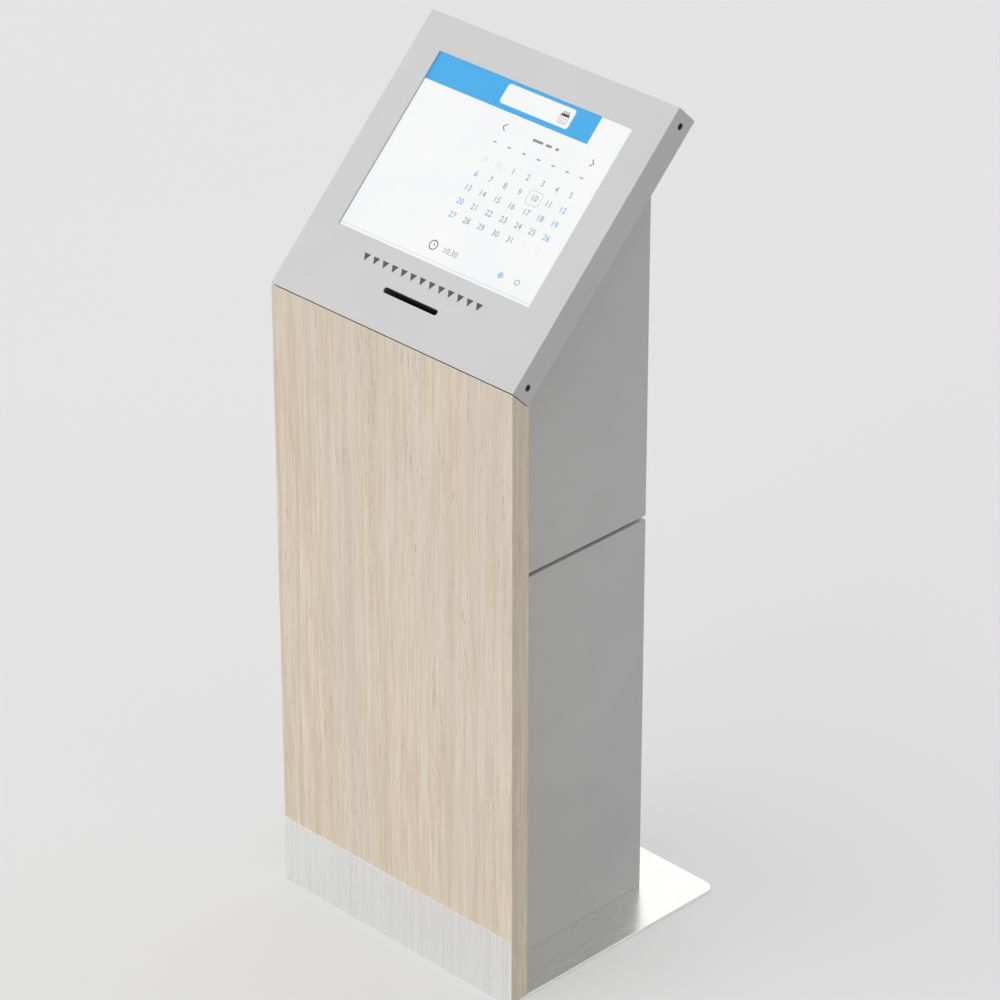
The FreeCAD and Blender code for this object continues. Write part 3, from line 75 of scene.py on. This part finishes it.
# The display's inks: each one's colour, and its lower and upper height over the sheet's face.
BASE_COLOUR, BASE_LAYER = (247, 247, 247), (-4.99, -4.94)
BAND_LAYER, FIELD_LAYER, MARK_LAYER = (-4.935, -4.90), (-4.895, -4.87), (-4.895, -4.86)
INKS = {
    "blue": ((64, 172, 234), BAND_LAYER),
    "white": ((247, 247, 247), FIELD_LAYER),
    "grey": ((145, 145, 147), MARK_LAYER),
    "green": ((170, 222, 198), MARK_LAYER),
    "dark": ((64, 64, 66), MARK_LAYER),
    "pale": ((226, 227, 228), MARK_LAYER),
}

# ---------------------------------------------------------------- levels of light

SCREEN_GLOW = 1.03
# What the floor gives to the camera and to reflections beyond the light that falls on it.
FLOOR_LIFT = 0.31
# The sky where it lights the object, and where the camera sees it.
SKY_LIGHT, SKY_SEEN = 0.5, 0.76


# ---------------------------------------------------------------- materials

# Nearly all of a noise's values lie in this range.
NOISE_RANGE = (0.3, 0.7)
# A Mix node has sockets for every kind of value. These are the ones for colours.
MIX_FIRST, MIX_SECOND, MIX_RESULT = 6, 7, 2


class Finish:
    """One material, built around a Principled shader from the piece's own coordinates."""

    def __init__(self, name, roughness, **sockets):
        self.material = bpy.data.materials.new(name)
        self.material.use_nodes = True
        self.tree = self.material.node_tree
        self.shader = self.tree.nodes["Principled BSDF"]
        self.place = self.add("ShaderNodeTexCoord").outputs["Object"]
        self.shader.inputs["Roughness"].default_value = roughness
        for socket, value in sockets.items():
            self.shader.inputs[socket.replace("_", " ")].default_value = value

    def add(self, kind, **settings):
        node = self.tree.nodes.new(kind)
        for key, value in settings.items():
            setattr(node, key, value)
        return node

    def link(self, source, socket):
        """Feeds a socket from another node's output, or sets it to a plain value."""
        if hasattr(source, "is_output"):
            self.tree.links.new(source, socket)
        else:
            socket.default_value = source

    def stretched(self, scale, shift=(0, 0, 0)):
        """The place on the piece times scale, which is one number or one for each axis."""
        node = self.add("ShaderNodeMapping")
        self.link(self.place, node.inputs["Vector"])
        node.inputs["Scale"].default_value = scale if isinstance(scale, tuple) else (scale,) * 3
        node.inputs["Location"].default_value = shift
        return node.outputs["Vector"]

    def noise(self, scale, detail=2.0, roughness=0.5, distortion=0.0, shift=(0, 0, 0)):
        """Noise with about scale spots per metre."""
        node = self.add("ShaderNodeTexNoise")
        self.link(self.stretched(scale, shift), node.inputs["Vector"])
        node.inputs["Scale"].default_value = 1.0
        node.inputs["Detail"].default_value = detail
        node.inputs["Roughness"].default_value = roughness
        node.inputs["Distortion"].default_value = distortion
        return node.outputs["Fac"]

    def bricks(self, scale, joint, offset):
        """The joints between the bricks of a wall."""
        node = self.add("ShaderNodeTexBrick", offset=offset)
        self.link(self.stretched(scale), node.inputs["Vector"])
        node.inputs["Scale"].default_value = 1.0
        node.inputs["Mortar Size"].default_value = joint
        return node.outputs["Fac"]

    def spread(self, value, source, target):
        """Maps the value from its source range to the target range."""
        node = self.add("ShaderNodeMapRange")
        self.link(value, node.inputs["Value"])
        for socket, number in zip(("From Min", "From Max", "To Min", "To Max"),
                                  (*source, *target)):
            node.inputs[socket].default_value = number
        return node.outputs["Result"]

    def sums(self, operation, first, second):
        node = self.add("ShaderNodeMath", operation=operation)
        self.link(first, node.inputs[0])
        self.link(second, node.inputs[1])
        return node.outputs["Value"]

    def mixed(self, amount, first, second):
        node = self.add("ShaderNodeMix", data_type="RGBA")
        self.link(amount, node.inputs["Factor"])
        self.link(first, node.inputs[MIX_FIRST])
        self.link(second, node.inputs[MIX_SECOND])
        return node.outputs[MIX_RESULT]

    def tones(self, value, dark, light, source=NOISE_RANGE):
        """Runs a colour from dark to light as the value goes through its source range."""
        return self.mixed(self.spread(value, source, (0, 1)), linear(dark), linear(light))

    def colour(self, value):
        self.link(value, self.shader.inputs["Base Color"])

    def rough(self, value):
        self.link(value, self.shader.inputs["Roughness"])

    def bump(self, height, relief, strength=0.5):
        """Raises the surface by up to relief mm. A second call adds to the first."""
        node = self.add("ShaderNodeBump")
        node.inputs["Distance"].default_value = relief * MM
        node.inputs["Strength"].default_value = strength
        self.link(height, node.inputs["Height"])
        links = self.shader.inputs["Normal"].links
        if links:
            self.link(links[0].from_socket, node.inputs["Normal"])
        self.link(node.outputs["Normal"], self.shader.inputs["Normal"])


def linear(colour):
    """An sRGB colour from 0 to 255 as the linear colour that the shaders take."""
    parts = [value / 255 for value in colour]
    parts = [p / 12.92 if p <= 0.04045 else ((p + 0.055) / 1.055) ** 2.4 for p in parts]
    return (*parts, 1.0)


def powder_coat(name):
    """Matte paint with a very fine orange peel and a faint unevenness."""
    made = Finish(name, 0.5, Specular_IOR_Level=0.35)
    made.colour(made.tones(made.noise(9, detail=3), PAINT_DARK, PAINT_LIGHT))
    made.rough(made.spread(made.noise(160), NOISE_RANGE, (0.44, 0.56)))
    made.bump(made.noise(1500, detail=1), relief=0.04)
    return made.material


def oak():
    """Oak with its grain upright: streaks, wide bands, long arcs and short dark pores."""
    made = Finish("oak", 0.5, Specular_IOR_Level=0.3)
    fine = made.noise((430, 430, 15), detail=3, roughness=0.6)
    streaks = made.noise((150, 150, 6), detail=3, roughness=0.55, distortion=0.3)
    bands = made.noise((12, 12, 1.1), distortion=0.6, shift=(3.1, 0, 7.7))
    rings = made.add("ShaderNodeTexWave", wave_type="RINGS", rings_direction="Z")
    made.link(made.stretched((1, 1, 0.11), (-0.03, 0.32, 0.02)), rings.inputs["Vector"])
    for socket, number in (("Scale", 15), ("Distortion", 3.2), ("Detail", 2.5),
                           ("Detail Scale", 1.2), ("Detail Roughness", 0.55)):
        rings.inputs[socket].default_value = number
    arcs = rings.outputs["Fac"]
    pores = made.noise((1300, 1300, 42), shift=(1.3, 2.2, 4.4))
    pored_places = made.noise((60, 60, 4), shift=(8, 3, 1))
    body = made.tones(streaks, OAK_DARK, OAK_LIGHT)
    for pattern, source, amount, shade in ((fine, (0.38, 0.72), 0.5, OAK_LINE),
                                           (bands, (0.42, 0.66), 0.42, OAK_COOL),
                                           (arcs, (0.5, 1.0), 0.2, OAK_LINE)):
        body = made.mixed(made.spread(pattern, source, (0, amount)), body, linear(shade))
    holes = made.sums("MULTIPLY", made.spread(pores, (0.63, 0.72), (0, 1)),
                      made.spread(pored_places, (0.45, 0.62), (0.1, 0.8)))
    made.colour(made.mixed(holes, body, linear(OAK_PORE)))
    made.rough(made.spread(fine, NOISE_RANGE, (0.46, 0.6)))
    made.bump(fine, relief=0.06, strength=0.6)
    made.bump(made.sums("SUBTRACT", 1.0, holes), relief=0.08)
    return made.material


def brushed(name, dark, light, roughness, relief):
    """Stainless sheet, brushed upwards on the kick plate and from front to back on the foot."""
    made = Finish(name, roughness[0], Metallic=1.0)
    strokes = made.noise((1000, 20, 9), detail=3, roughness=0.7)
    wide = made.noise((330, 9, 5), detail=3, roughness=0.6, shift=(5, 1, 2))
    both = made.sums("ADD", made.sums("MULTIPLY", strokes, 0.6),
                     made.sums("MULTIPLY", wide, 0.4))
    made.colour(made.tones(both, dark, light, source=(0.36, 0.64)))
    made.rough(made.spread(strokes, NOISE_RANGE, roughness))
    made.bump(both, relief)
    return made.material


def plain_metal(name, dark, light, roughness, grain=220):
    """Plated or machined steel with a faint mottle."""
    made = Finish(name, roughness, Metallic=1.0)
    made.colour(made.tones(made.noise(grain, detail=3), dark, light))
    made.rough(made.spread(made.noise(grain * 3), NOISE_RANGE,
                           (roughness * 0.8, roughness * 1.2)))
    made.bump(made.noise(2200, detail=1), relief=0.02, strength=0.3)
    return made.material


def moulded(name, dark, light, roughness, grain=60, relief=0.04):
    """Plastic, rubber, card, paper or printed ink: a soft mottle and a fine grain."""
    made = Finish(name, roughness)
    made.colour(made.tones(made.noise(grain, detail=3), dark, light))
    made.rough(made.spread(made.noise(grain * 6), NOISE_RANGE,
                           (roughness * 0.88, min(1.0, roughness * 1.12))))
    made.bump(made.noise(1400), relief)
    return made.material


def circuit():
    """Green circuit board with paler traces that run in steps."""
    made = Finish("circuit", 0.38)
    traces = made.bricks(130, joint=0.06, offset=0.5)
    mask = made.tones(made.noise(40), (20, 84, 50), (30, 104, 62))
    made.colour(made.mixed(made.sums("MULTIPLY", traces, 0.7), mask, linear((62, 132, 84))))
    made.bump(traces, relief=0.05)
    return made.material


def lit_ink(name, colour):
    """A colour of the display: its light has the faint grid of the display's cells."""
    made = Finish(name, 0.5, Specular_IOR_Level=0.0)
    made.colour(made.tones(made.noise(30), (8, 8, 9), (12, 12, 13)))
    made.link(linear(colour), made.shader.inputs["Emission Color"])
    cells = made.bricks((1000, 1410, 1), joint=0.05, offset=0.0)
    made.link(made.spread(cells, (0, 1), (SCREEN_GLOW, SCREEN_GLOW * 0.94)),
              made.shader.inputs["Emission Strength"])
    return made.material


def clear_glass():
    """The touch glass: clear, with the faintest trace of wiping in its gloss."""
    made = Finish("touch_surface", 0.02, IOR=1.2, Transmission_Weight=1.0)
    made.colour(made.tones(made.noise(12), (251, 252, 253), WHITE))
    made.rough(made.spread(made.noise((25, 25, 60), detail=3), (0.4, 0.7), (0.0, 0.02)))
    return made.material


finishes = {
    "fascia_paint": powder_coat("fascia_paint"),
    "cabinet_paint": powder_coat("cabinet_paint"),
    "oak": oak(),
    "brushed_plate": brushed("brushed_plate", (236, 236, 235), (251, 251, 250),
                             roughness=(0.2, 0.32), relief=0.02),
    "zinc_steel": plain_metal("zinc_steel", (168, 172, 176), (196, 200, 204), 0.34, grain=90),
    "black_steel": plain_metal("black_steel", (46, 46, 47), (62, 62, 63), 0.36),
    "bright_steel": plain_metal("bright_steel", (196, 197, 198), (220, 221, 222), 0.22),
    "touch_surface": clear_glass(),
    "display_surface": moulded("display_surface", (22, 23, 25), (34, 35, 38), 0.3),
    "black_plastic": moulded("black_plastic", (42, 42, 44), (56, 56, 58), 0.46),
    "gear_plastic": moulded("gear_plastic", (226, 222, 208), (238, 235, 224), 0.42),
    "rubber": moulded("rubber", (22, 22, 22), (34, 34, 34), 0.78),
    "aluminium_parts": plain_metal("aluminium_parts", (186, 188, 190), (212, 214, 216), 0.32),
    "paper": moulded("paper", (232, 231, 226), (242, 241, 237), 0.85, grain=300),
    "cardboard": moulded("cardboard", (164, 132, 96), (184, 152, 114), 0.88, grain=150),
    "circuit": circuit(),
}


# ---------------------------------------------------------------- CAD nodes and their pieces

def coat(node, material):
    for place in frame["nodes"][node].material_slots:
        place.material = material


slot_of_node = {}
for name, node in frame["nodes"].items():
    slot_of_node[name] = node.material_slots[0].material.name.split(".")[0]
    coat(name, finishes[slot_of_node[name]])
# The chute's walls are polished by the tickets, so they are glossier than other plastic.
# Their colour is also lighter than other plastic: painted light for the light that falls into
# the slot.
coat("ticket_chute", moulded("chute_plastic_painted_light", (104, 104, 106), (120, 120, 122), 0.34))


def body_of_node(node):
    for body, members in frame["record"]["behaviour"]["bodies"].items():
        if node in members:
            return body
    raise ValueError(node)


def piece(name, mesh, node=None, body=None):
    """Puts a mesh into the scene as a piece of its own, in the node's stead if one is given."""
    made = bpy.data.objects.new(name, mesh)
    bpy.context.scene.collection.objects.link(made)
    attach(made, body or body_of_node(node))
    if node:
        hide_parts(node)
    return made


def finished(mesh, name, material):
    """Turns an editable mesh into a plain one with its faces outwards and its material."""
    bmesh.ops.recalc_face_normals(mesh, faces=mesh.faces)
    made = bpy.data.meshes.new(name)
    mesh.to_mesh(made)
    mesh.free()
    made.materials.append(material)
    return made


def welded(node, nearness=1e-6):
    """A copy of a CAD node's mesh with its corners joined, as an editable mesh."""
    mesh = bmesh.new()
    mesh.from_mesh(frame["nodes"][node].data)
    bmesh.ops.remove_doubles(mesh, verts=mesh.verts, dist=nearness)
    return mesh


def separate_parts(node):
    """The corner points of each separate solid in a CAD node."""
    mesh = welded(node)
    seen = set()
    parts = []
    for start in mesh.verts:
        if start in seen:
            continue
        seen.add(start)
        queue = [start]
        part = []
        while queue:
            corner = queue.pop()
            part.append(corner.co.copy())
            for edge in corner.link_edges:
                other = edge.other_vert(corner)
                if other not in seen:
                    seen.add(other)
                    queue.append(other)
        parts.append(part)
    mesh.free()
    return parts


def middle(points):
    """The middle of the box around the points."""
    low = Vector(min(p[i] for p in points) for i in range(3))
    high = Vector(max(p[i] for p in points) for i in range(3))
    return (low + high) / 2


def close_hole(mesh, centre, reach=3 * MM, depth=4 * MM):
    """Takes a round hole out of a side wall that faces X and closes both its faces.

    Reach is more than the hole's radius and depth is more than the wall's thickness.
    """
    near = [v for v in mesh.verts
            if (v.co.yz - centre.yz).length < reach and v.co.x > centre.x - depth]
    walls = [f for f in mesh.faces
             if all(v in near for v in f.verts) and abs(f.normal.x) < 0.5]
    if not walls:
        return
    bmesh.ops.delete(mesh, geom=walls, context="FACES_ONLY")
    for level in sorted({round(v.co.x, 6) for v in near}):
        ring = [v for v in near if v.is_valid and round(v.co.x, 6) == level]
        rim = [e for v in ring for e in v.link_edges
               if e.is_boundary and e.other_vert(v) in ring]
        if rim:
            bmesh.ops.holes_fill(mesh, edges=list(dict.fromkeys(rim)), sides=0)


# Faces that meet at less than the first angle are one plane. Edges over the second are rounded.
SAME_PLANE, SHARP_EDGE = radians(1), radians(40)
# The strips of bends, holes and corners have less area than this, in square metres.
NARROW_FACE = 1e-5


def dressed(node, round_over, closed=()):
    """The CAD node's own form with its sharp edges rounded over, as folded sheet has them."""
    mesh = welded(node)
    for centre in closed:
        close_hole(mesh, centre)
    bmesh.ops.dissolve_limit(mesh, angle_limit=SAME_PLANE, verts=mesh.verts, edges=mesh.edges)
    made = finished(mesh, node + "_form", finishes[slot_of_node[node]])
    # Only the narrow strips are shaded as curved, so that wide faces stay plane.
    made.polygons.foreach_set("use_smooth", [face.area < NARROW_FACE for face in made.polygons])
    shown = piece(node + "_form", made, node)
    bevel = shown.modifiers.new("rounded", "BEVEL")
    bevel.width = round_over * MM
    bevel.segments = 2
    bevel.limit_method = "ANGLE"
    bevel.angle_limit = SHARP_EDGE
    bevel.use_clamp_overlap = False


def screw_mesh(mesh, points, axis, rise, shank, sink, turns=24):
    """Adds a socket screw along axis, as wide and long as the CAD one: dome, hex and shank."""
    centre = middle(points)
    outer = max((p - centre).dot(axis) for p in points)
    inner = min((p - centre).dot(axis) for p in points)
    wide = max(((p - centre) - axis * (p - centre).dot(axis)).length for p in points)
    hexagon = wide * 0.42
    # Rings from the bottom of the socket over the dome to the shank's end: the radius, the
    # height from the dome's top, and whether the ring is a hexagon.
    profile = [(hexagon, -sink, True), (hexagon, -0.06 * rise, True), (hexagon * 1.12, 0, True),
               (wide * 0.78, 0, False), (wide * 0.9, -0.06 * rise, False),
               (wide * 0.97, -0.2 * rise, False), (wide, -0.42 * rise, False),
               (wide, -rise, False), (shank, -rise, False), (shank, inner - outer, False)]
    side = axis.orthogonal().normalized()
    other = axis.cross(side)
    rings = []
    for radius, height, is_hexagon in profile:
        ring = []
        for step in range(turns):
            angle = 2 * pi * step / turns
            out = radius
            if is_hexagon:
                out = radius / cos((angle % (pi / 3)) - pi / 6)
            ring.append(mesh.verts.new(centre + axis * (outer + height)
                                       + side * cos(angle) * out + other * sin(angle) * out))
        rings.append(ring)
    for first, second in zip(rings, rings[1:]):
        for step in range(turns):
            after = (step + 1) % turns
            mesh.faces.new((first[step], second[step], second[after], first[after]))
    mesh.faces.new(rings[0])
    mesh.faces.new(list(reversed(rings[-1])))


def screws(node, chosen, sides_from, rise, shank, sink):
    """Rebuilds screws of a CAD node, with all sizes in mm.

    From sides_from outwards they point to the side. The others point along the slope: up in the
    head's upper half and down in its lower half. Rise is the dome's height, shank the shank's
    radius and sink the socket's depth.
    """
    half_way = (HEAD_Z + 100) * MM
    mesh = bmesh.new()
    for points in chosen:
        centre = middle(points)
        if abs(centre.x) > sides_from * MM:
            axis = Vector((1 if centre.x > 0 else -1, 0, 0))
        else:
            axis = UP_SLOPE if centre.z > half_way else -UP_SLOPE
        screw_mesh(mesh, points, axis, rise * MM, shank * MM, sink * MM)
    made = finished(mesh, node + "_form", finishes[slot_of_node[node]])
    made.shade_smooth()
    piece(node + "_form", made, node)


# The photo shows bolts down the left side only, so the right side has neither bolts nor holes.
side_bolts = separate_parts("cabinet_bolts")
left_bolts = [part for part in side_bolts if middle(part).x < 0]
right_places = [middle(part) for part in side_bolts if middle(part).x > 0]
screws("cabinet_bolts", left_bolts, sides_from=120, rise=1.6, shank=1.9, sink=1.1)
screws("tray_screws", separate_parts("tray_screws"), sides_from=180, rise=1.4, shank=1.5,
       sink=1.2)

dressed("head_tray", 0.5)
dressed("upper_cabinet", 0.4, right_places)
dressed("lower_cabinet", 0.4, right_places)
dressed("access_door", 0.4)
dressed("front_board", 0.6)
dressed("kick_plate", 0.35)
dressed("foot_plate", 0.6)


# ---------------------------------------------------------------- marks on the head, in mm

def on_head(x, rise, height):
    """A point of the head in mm: across, up the slope and out of the sheet's face."""
    return Vector((x, HEAD_Y + (rise - height) * SLOPE, HEAD_Z + (rise + height) * SLOPE)) * MM


def plain_box(left, foot, right, top):
    return [(left, foot), (right, foot), (right, top), (left, top)]


def rounded_box(x, rise, width, height, corner, steps=6):
    """The outline of a box around (x, rise) with rounded corners."""
    outline = []
    for turn, (sx, sy) in enumerate(((1, 1), (-1, 1), (-1, -1), (1, -1))):
        for step in range(steps + 1):
            angle = (turn + step / steps) * pi / 2
            outline.append((x + sx * (width / 2 - corner) + corner * cos(angle),
                            rise + sy * (height / 2 - corner) + corner * sin(angle)))
    return outline


def circle(x, rise, radius, steps=28):
    return [(x + radius * cos(2 * pi * i / steps), rise + radius * sin(2 * pi * i / steps))
            for i in range(steps)]


def chevron(x, rise, reach, tall=4.4, width=1.5):
    """An arrow head that points towards reach, drawn as one bent stroke."""
    return [(x, rise + tall), (x + width, rise + tall), (x + width + reach, rise),
            (x + width, rise - tall), (x, rise - tall), (x + reach, rise)]


class Marks:
    """Thin flat shapes of one ink on the sloping head, between two heights over its face."""

    def __init__(self, low, high):
        self.low, self.high = low, high
        self.mesh = bmesh.new()

    def outlines(self, *shapes):
        """The corners of each shape at the lower height, and then at the upper one."""
        return [[self.mesh.verts.new(on_head(x, rise, height)) for x, rise in shape]
                for height in (self.low, self.high) for shape in shapes]

    def shape(self, outline):
        bottom, top = self.outlines(outline)
        self.mesh.faces.new(list(reversed(bottom)))
        self.mesh.faces.new(top)
        for step in range(len(outline)):
            after = (step + 1) % len(outline)
            self.mesh.faces.new((bottom[step], bottom[after], top[after], top[step]))

    def ring(self, outside, inside):
        bottom_out, bottom_in, top_out, top_in = self.outlines(outside, inside)
        for step in range(len(outside)):
            after = (step + 1) % len(outside)
            for first, second in ((top_out, top_in), (top_in, bottom_in),
                                  (bottom_in, bottom_out), (bottom_out, top_out)):
                self.mesh.faces.new((first[step], first[after], second[after], second[step]))

    def digits(self, words, x, rise, size=10.5):
        curve = bpy.data.curves.new("digits", "FONT")
        curve.body = words
        curve.size = size
        curve.align_x = curve.align_y = "CENTER"
        curve.extrude = (self.high - self.low) / 2
        curve.resolution_u = 3
        holder = bpy.data.objects.new("digits", curve)
        bpy.context.scene.collection.objects.link(holder)
        flat = bpy.data.meshes.new_from_object(holder)
        bpy.data.objects.remove(holder)
        centre = on_head(x, rise, (self.low + self.high) / 2)
        turn = Matrix((Vector((1, 0, 0)), UP_SLOPE, OUTWARD)).transposed() * MM
        flat.transform(Matrix.Translation(centre) @ turn.to_4x4())
        self.mesh.from_mesh(flat)
        bpy.data.meshes.remove(flat)

    def piece(self, name, material, slot, node=None):
        piece(name, finished(self.mesh, name, material), node, "kiosk")


def band(blue, white, grey, dark):
    """The blue band at the top, with a white field and a small calendar at its right end."""
    blue.shape(plain_box(-PICTURE_X, 290.5, 103, PICTURE_TOP))
    white.shape(rounded_box(13.5, 309.5, 107, 25, 4))
    dark.ring(rounded_box(55, 307.5, 13, 12, 1.4), rounded_box(55, 307.5, 12, 11, 0.9))
    dark.shape(plain_box(49.2, 310.2, 60.8, 312.9))
    for place in (51.5, 55, 58.5):
        dark.shape(rounded_box(place, 315.2, 1.3, 3.4, 0.5, steps=3))
    for row in (307.6, 304.4):
        for place in (51.9, 55, 58.1):
            grey.shape(rounded_box(place, row, 1.6, 1.4, 0.2, steps=2))


def month(blue, grey, green, dark, pale):
    """A heading of bars between arrows, seven bars for the weekdays and the month's numbers."""
    columns = (-14.7, 8, 31, 54, 77, 99, 121)
    rows = (229.8, 210.8, 192.5, 174.7, 156.7)
    heading, weekdays = 273, 253
    weekend = (0, 6)
    dark.shape(chevron(-12, heading, -4.2))
    dark.shape(chevron(121, heading, 4.2))
    for place, wide in ((40, 16), (57, 9), (70, 5)):
        grey.shape(rounded_box(place, heading - 1, wide, 3.2, 1.2))
    for column, place in enumerate(columns):
        ink = blue if column in weekend else grey
        ink.shape(rounded_box(place, weekdays, 5.4, 1.6, 0.7, steps=3))
    for column, row, day in ((0, 0, 29), (1, 0, 30), (5, 4, 1), (6, 4, 2)):
        pale.digits(str(day), columns[column], rows[row])
    for day in range(1, 32):
        row, column = divmod(day + 1, 7)
        ink = blue if column in weekend else grey
        ink.digits(str(day), columns[column], rows[row])
    green.ring(rounded_box(77, 210.5, 21, 18, 4), rounded_box(77, 210.5, 19.4, 16.4, 3.4))


def time_row(blue, grey, dark):
    """A small clock, a time and two round choices, the first of them taken."""
    row = 116
    dark.ring(circle(-16, row + 1, 6.2), circle(-16, row + 1, 5.0))
    dark.shape(plain_box(-16.4, row + 0.6, -15.6, row + 4.4))
    dark.shape(plain_box(-15.6, row + 0.6, -13.0, row + 1.4))
    grey.digits("10:30", 11, row)
    blue.ring(circle(91, row, 3.6), circle(91, row, 2.5))
    blue.shape(circle(91, row, 1.4, steps=16))
    grey.ring(circle(117, row, 3.6), circle(117, row, 2.7))


def lit_edge(pale, width=1.2):
    """The edge of the lit field: a pale line along the foot and the right of the window."""
    edge, foot = WINDOW_X - 4, WINDOW_LOW + 3.6
    pale.shape(plain_box(-PICTURE_X, foot, edge, foot + width))
    pale.shape(plain_box(edge, foot, edge + width, PICTURE_TOP))


base = Marks(*BASE_LAYER)
base.shape(rounded_box(0, PICTURE_MIDDLE, 2 * PICTURE_X, PICTURE_HEIGHT, 0.5))
base.piece("screen_base", lit_ink("screen_white", BASE_COLOUR), "display_surface")
inks = {name: Marks(*layer) for name, (colour, layer) in INKS.items()}
band(inks["blue"], inks["white"], inks["grey"], inks["dark"])
month(inks["blue"], inks["grey"], inks["green"], inks["dark"], inks["pale"])
time_row(inks["blue"], inks["grey"], inks["dark"])
lit_edge(inks["pale"])
for name, (colour, layer) in INKS.items():
    inks[name].piece("screen_" + name, lit_ink("screen_ink_" + name, colour),
                     "display_surface")

# The pane takes its outline from the CAD glass: the box's lowest point is on the back of the
# glass and its highest one on the front.
pane = Marks(-GLASS_BACK, -GLASS_FRONT)
low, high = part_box("touch_glass")
width = (high[0] - low[0]) / MM
foot = (low[2] / MM - HEAD_Z) / SLOPE + CAD_GLASS_BACK
crown = (high[2] / MM - HEAD_Z) / SLOPE + GLASS_FRONT
pane.shape(rounded_box(0, (foot + crown) / 2, width, crown - foot, 1.5))
pane.piece("touch_glass_form", finishes["touch_surface"], "touch_surface", "touch_glass")

# A row of thirteen arrow heads over the slot points a visitor to the ticket.
ARROWS_EACH_SIDE, ARROW_PITCH, ARROW_HALF, ARROW_TOP, ARROW_TIP = 6, 15, 5, 76.6, 67.4
arrows = Marks(0.0, 0.05)
for step in range(-ARROWS_EACH_SIDE, ARROWS_EACH_SIDE + 1):
    place = step * ARROW_PITCH
    arrows.shape([(place - ARROW_HALF, ARROW_TOP), (place + ARROW_HALF, ARROW_TOP),
                  (place, ARROW_TIP)])
arrows.piece("slot_arrows", moulded("printed_ink", (72, 72, 74), (84, 84, 86), 0.6, grain=200,
                                    relief=0.01), "fascia_paint")


# ---------------------------------------------------------------- floor, light and camera

def floor(reach=40):
    """A wide pale floor. The camera and reflections see it lighter than it lights the object."""
    mesh = bmesh.new()
    bmesh.ops.create_grid(mesh, x_segments=8, y_segments=8, size=reach)
    made = bpy.data.meshes.new("floor")
    mesh.to_mesh(made)
    mesh.free()
    finish = Finish("floor_cover", 0.9, Specular_IOR_Level=0.0)
    finish.colour(finish.tones(finish.noise(0.6), FLOOR_DARK, FLOOR_LIGHT))
    path = finish.add("ShaderNodeLightPath")
    seen = path.outputs["Is Camera Ray"]
    for kind in ("Is Glossy Ray", "Is Transmission Ray"):
        seen = finish.sums("MAXIMUM", seen, path.outputs[kind])
    finish.link(linear(WHITE), finish.shader.inputs["Emission Color"])
    finish.link(finish.sums("MULTIPLY", seen, FLOOR_LIFT),
                finish.shader.inputs["Emission Strength"])
    made.materials.append(finish.material)
    laid = bpy.data.objects.new("floor", made)
    bpy.context.scene.collection.objects.link(laid)


def surroundings():
    """An even sky: mild where it lights, as pale as the floor where the camera sees it."""
    world = bpy.data.worlds.new("surroundings")
    bpy.context.scene.world = world
    world.use_nodes = True
    tree = world.node_tree
    path = tree.nodes.new("ShaderNodeLightPath")
    level = tree.nodes.new("ShaderNodeMapRange")
    tree.links.new(path.outputs["Is Camera Ray"], level.inputs["Value"])
    level.inputs["To Min"].default_value = SKY_LIGHT
    level.inputs["To Max"].default_value = SKY_SEEN
    tree.links.new(level.outputs["Result"], tree.nodes["Background"].inputs["Strength"])
    tree.nodes["Background"].inputs["Color"].default_value = (1, 1, 1, 1)


def sun(name, towards, level, width):
    """A very wide soft light; level is what it adds to a white surface that faces it."""
    data = bpy.data.lights.new(name, "SUN")
    data.energy = level * pi
    data.angle = radians(width)
    lamp = bpy.data.objects.new(name, data)
    lamp.rotation_euler = Vector(towards).to_track_quat("Z", "Y").to_euler()
    bpy.context.scene.collection.objects.link(lamp)


def camera(place, azimuth, elevation, lens, sensor=36):
    """The photo's camera, level from side to side, with its angles in degrees."""
    azimuth, elevation = radians(azimuth), radians(elevation)
    back = Vector((sin(azimuth) * cos(elevation), -cos(azimuth) * cos(elevation),
                   sin(elevation)))
    right = Vector((cos(azimuth), sin(azimuth), 0))
    up = back.cross(right)
    data = bpy.data.cameras.new("main_camera")
    data.lens, data.sensor_width = lens, sensor
    data.clip_end = 200
    seen_from = bpy.data.objects.new("main_camera", data)
    turn = Matrix((right, up, back)).transposed().to_4x4()
    seen_from.matrix_world = Matrix.Translation(place) @ turn
    bpy.context.scene.collection.objects.link(seen_from)
    bpy.context.scene.camera = seen_from


floor()
surroundings()
sun("key", towards=(-0.38, -0.8, 0.46), level=0.45, width=80)
sun("top", towards=(0, 0, 1), level=0.15, width=120)
sun("fill", towards=(-0.3, 0.85, 0.4), level=0.32, width=112)
camera((3.46888, -3.46178, 3.23778), azimuth=45.06, elevation=28.87, lens=172.4)
bpy.context.scene.view_settings.view_transform = "Standard"
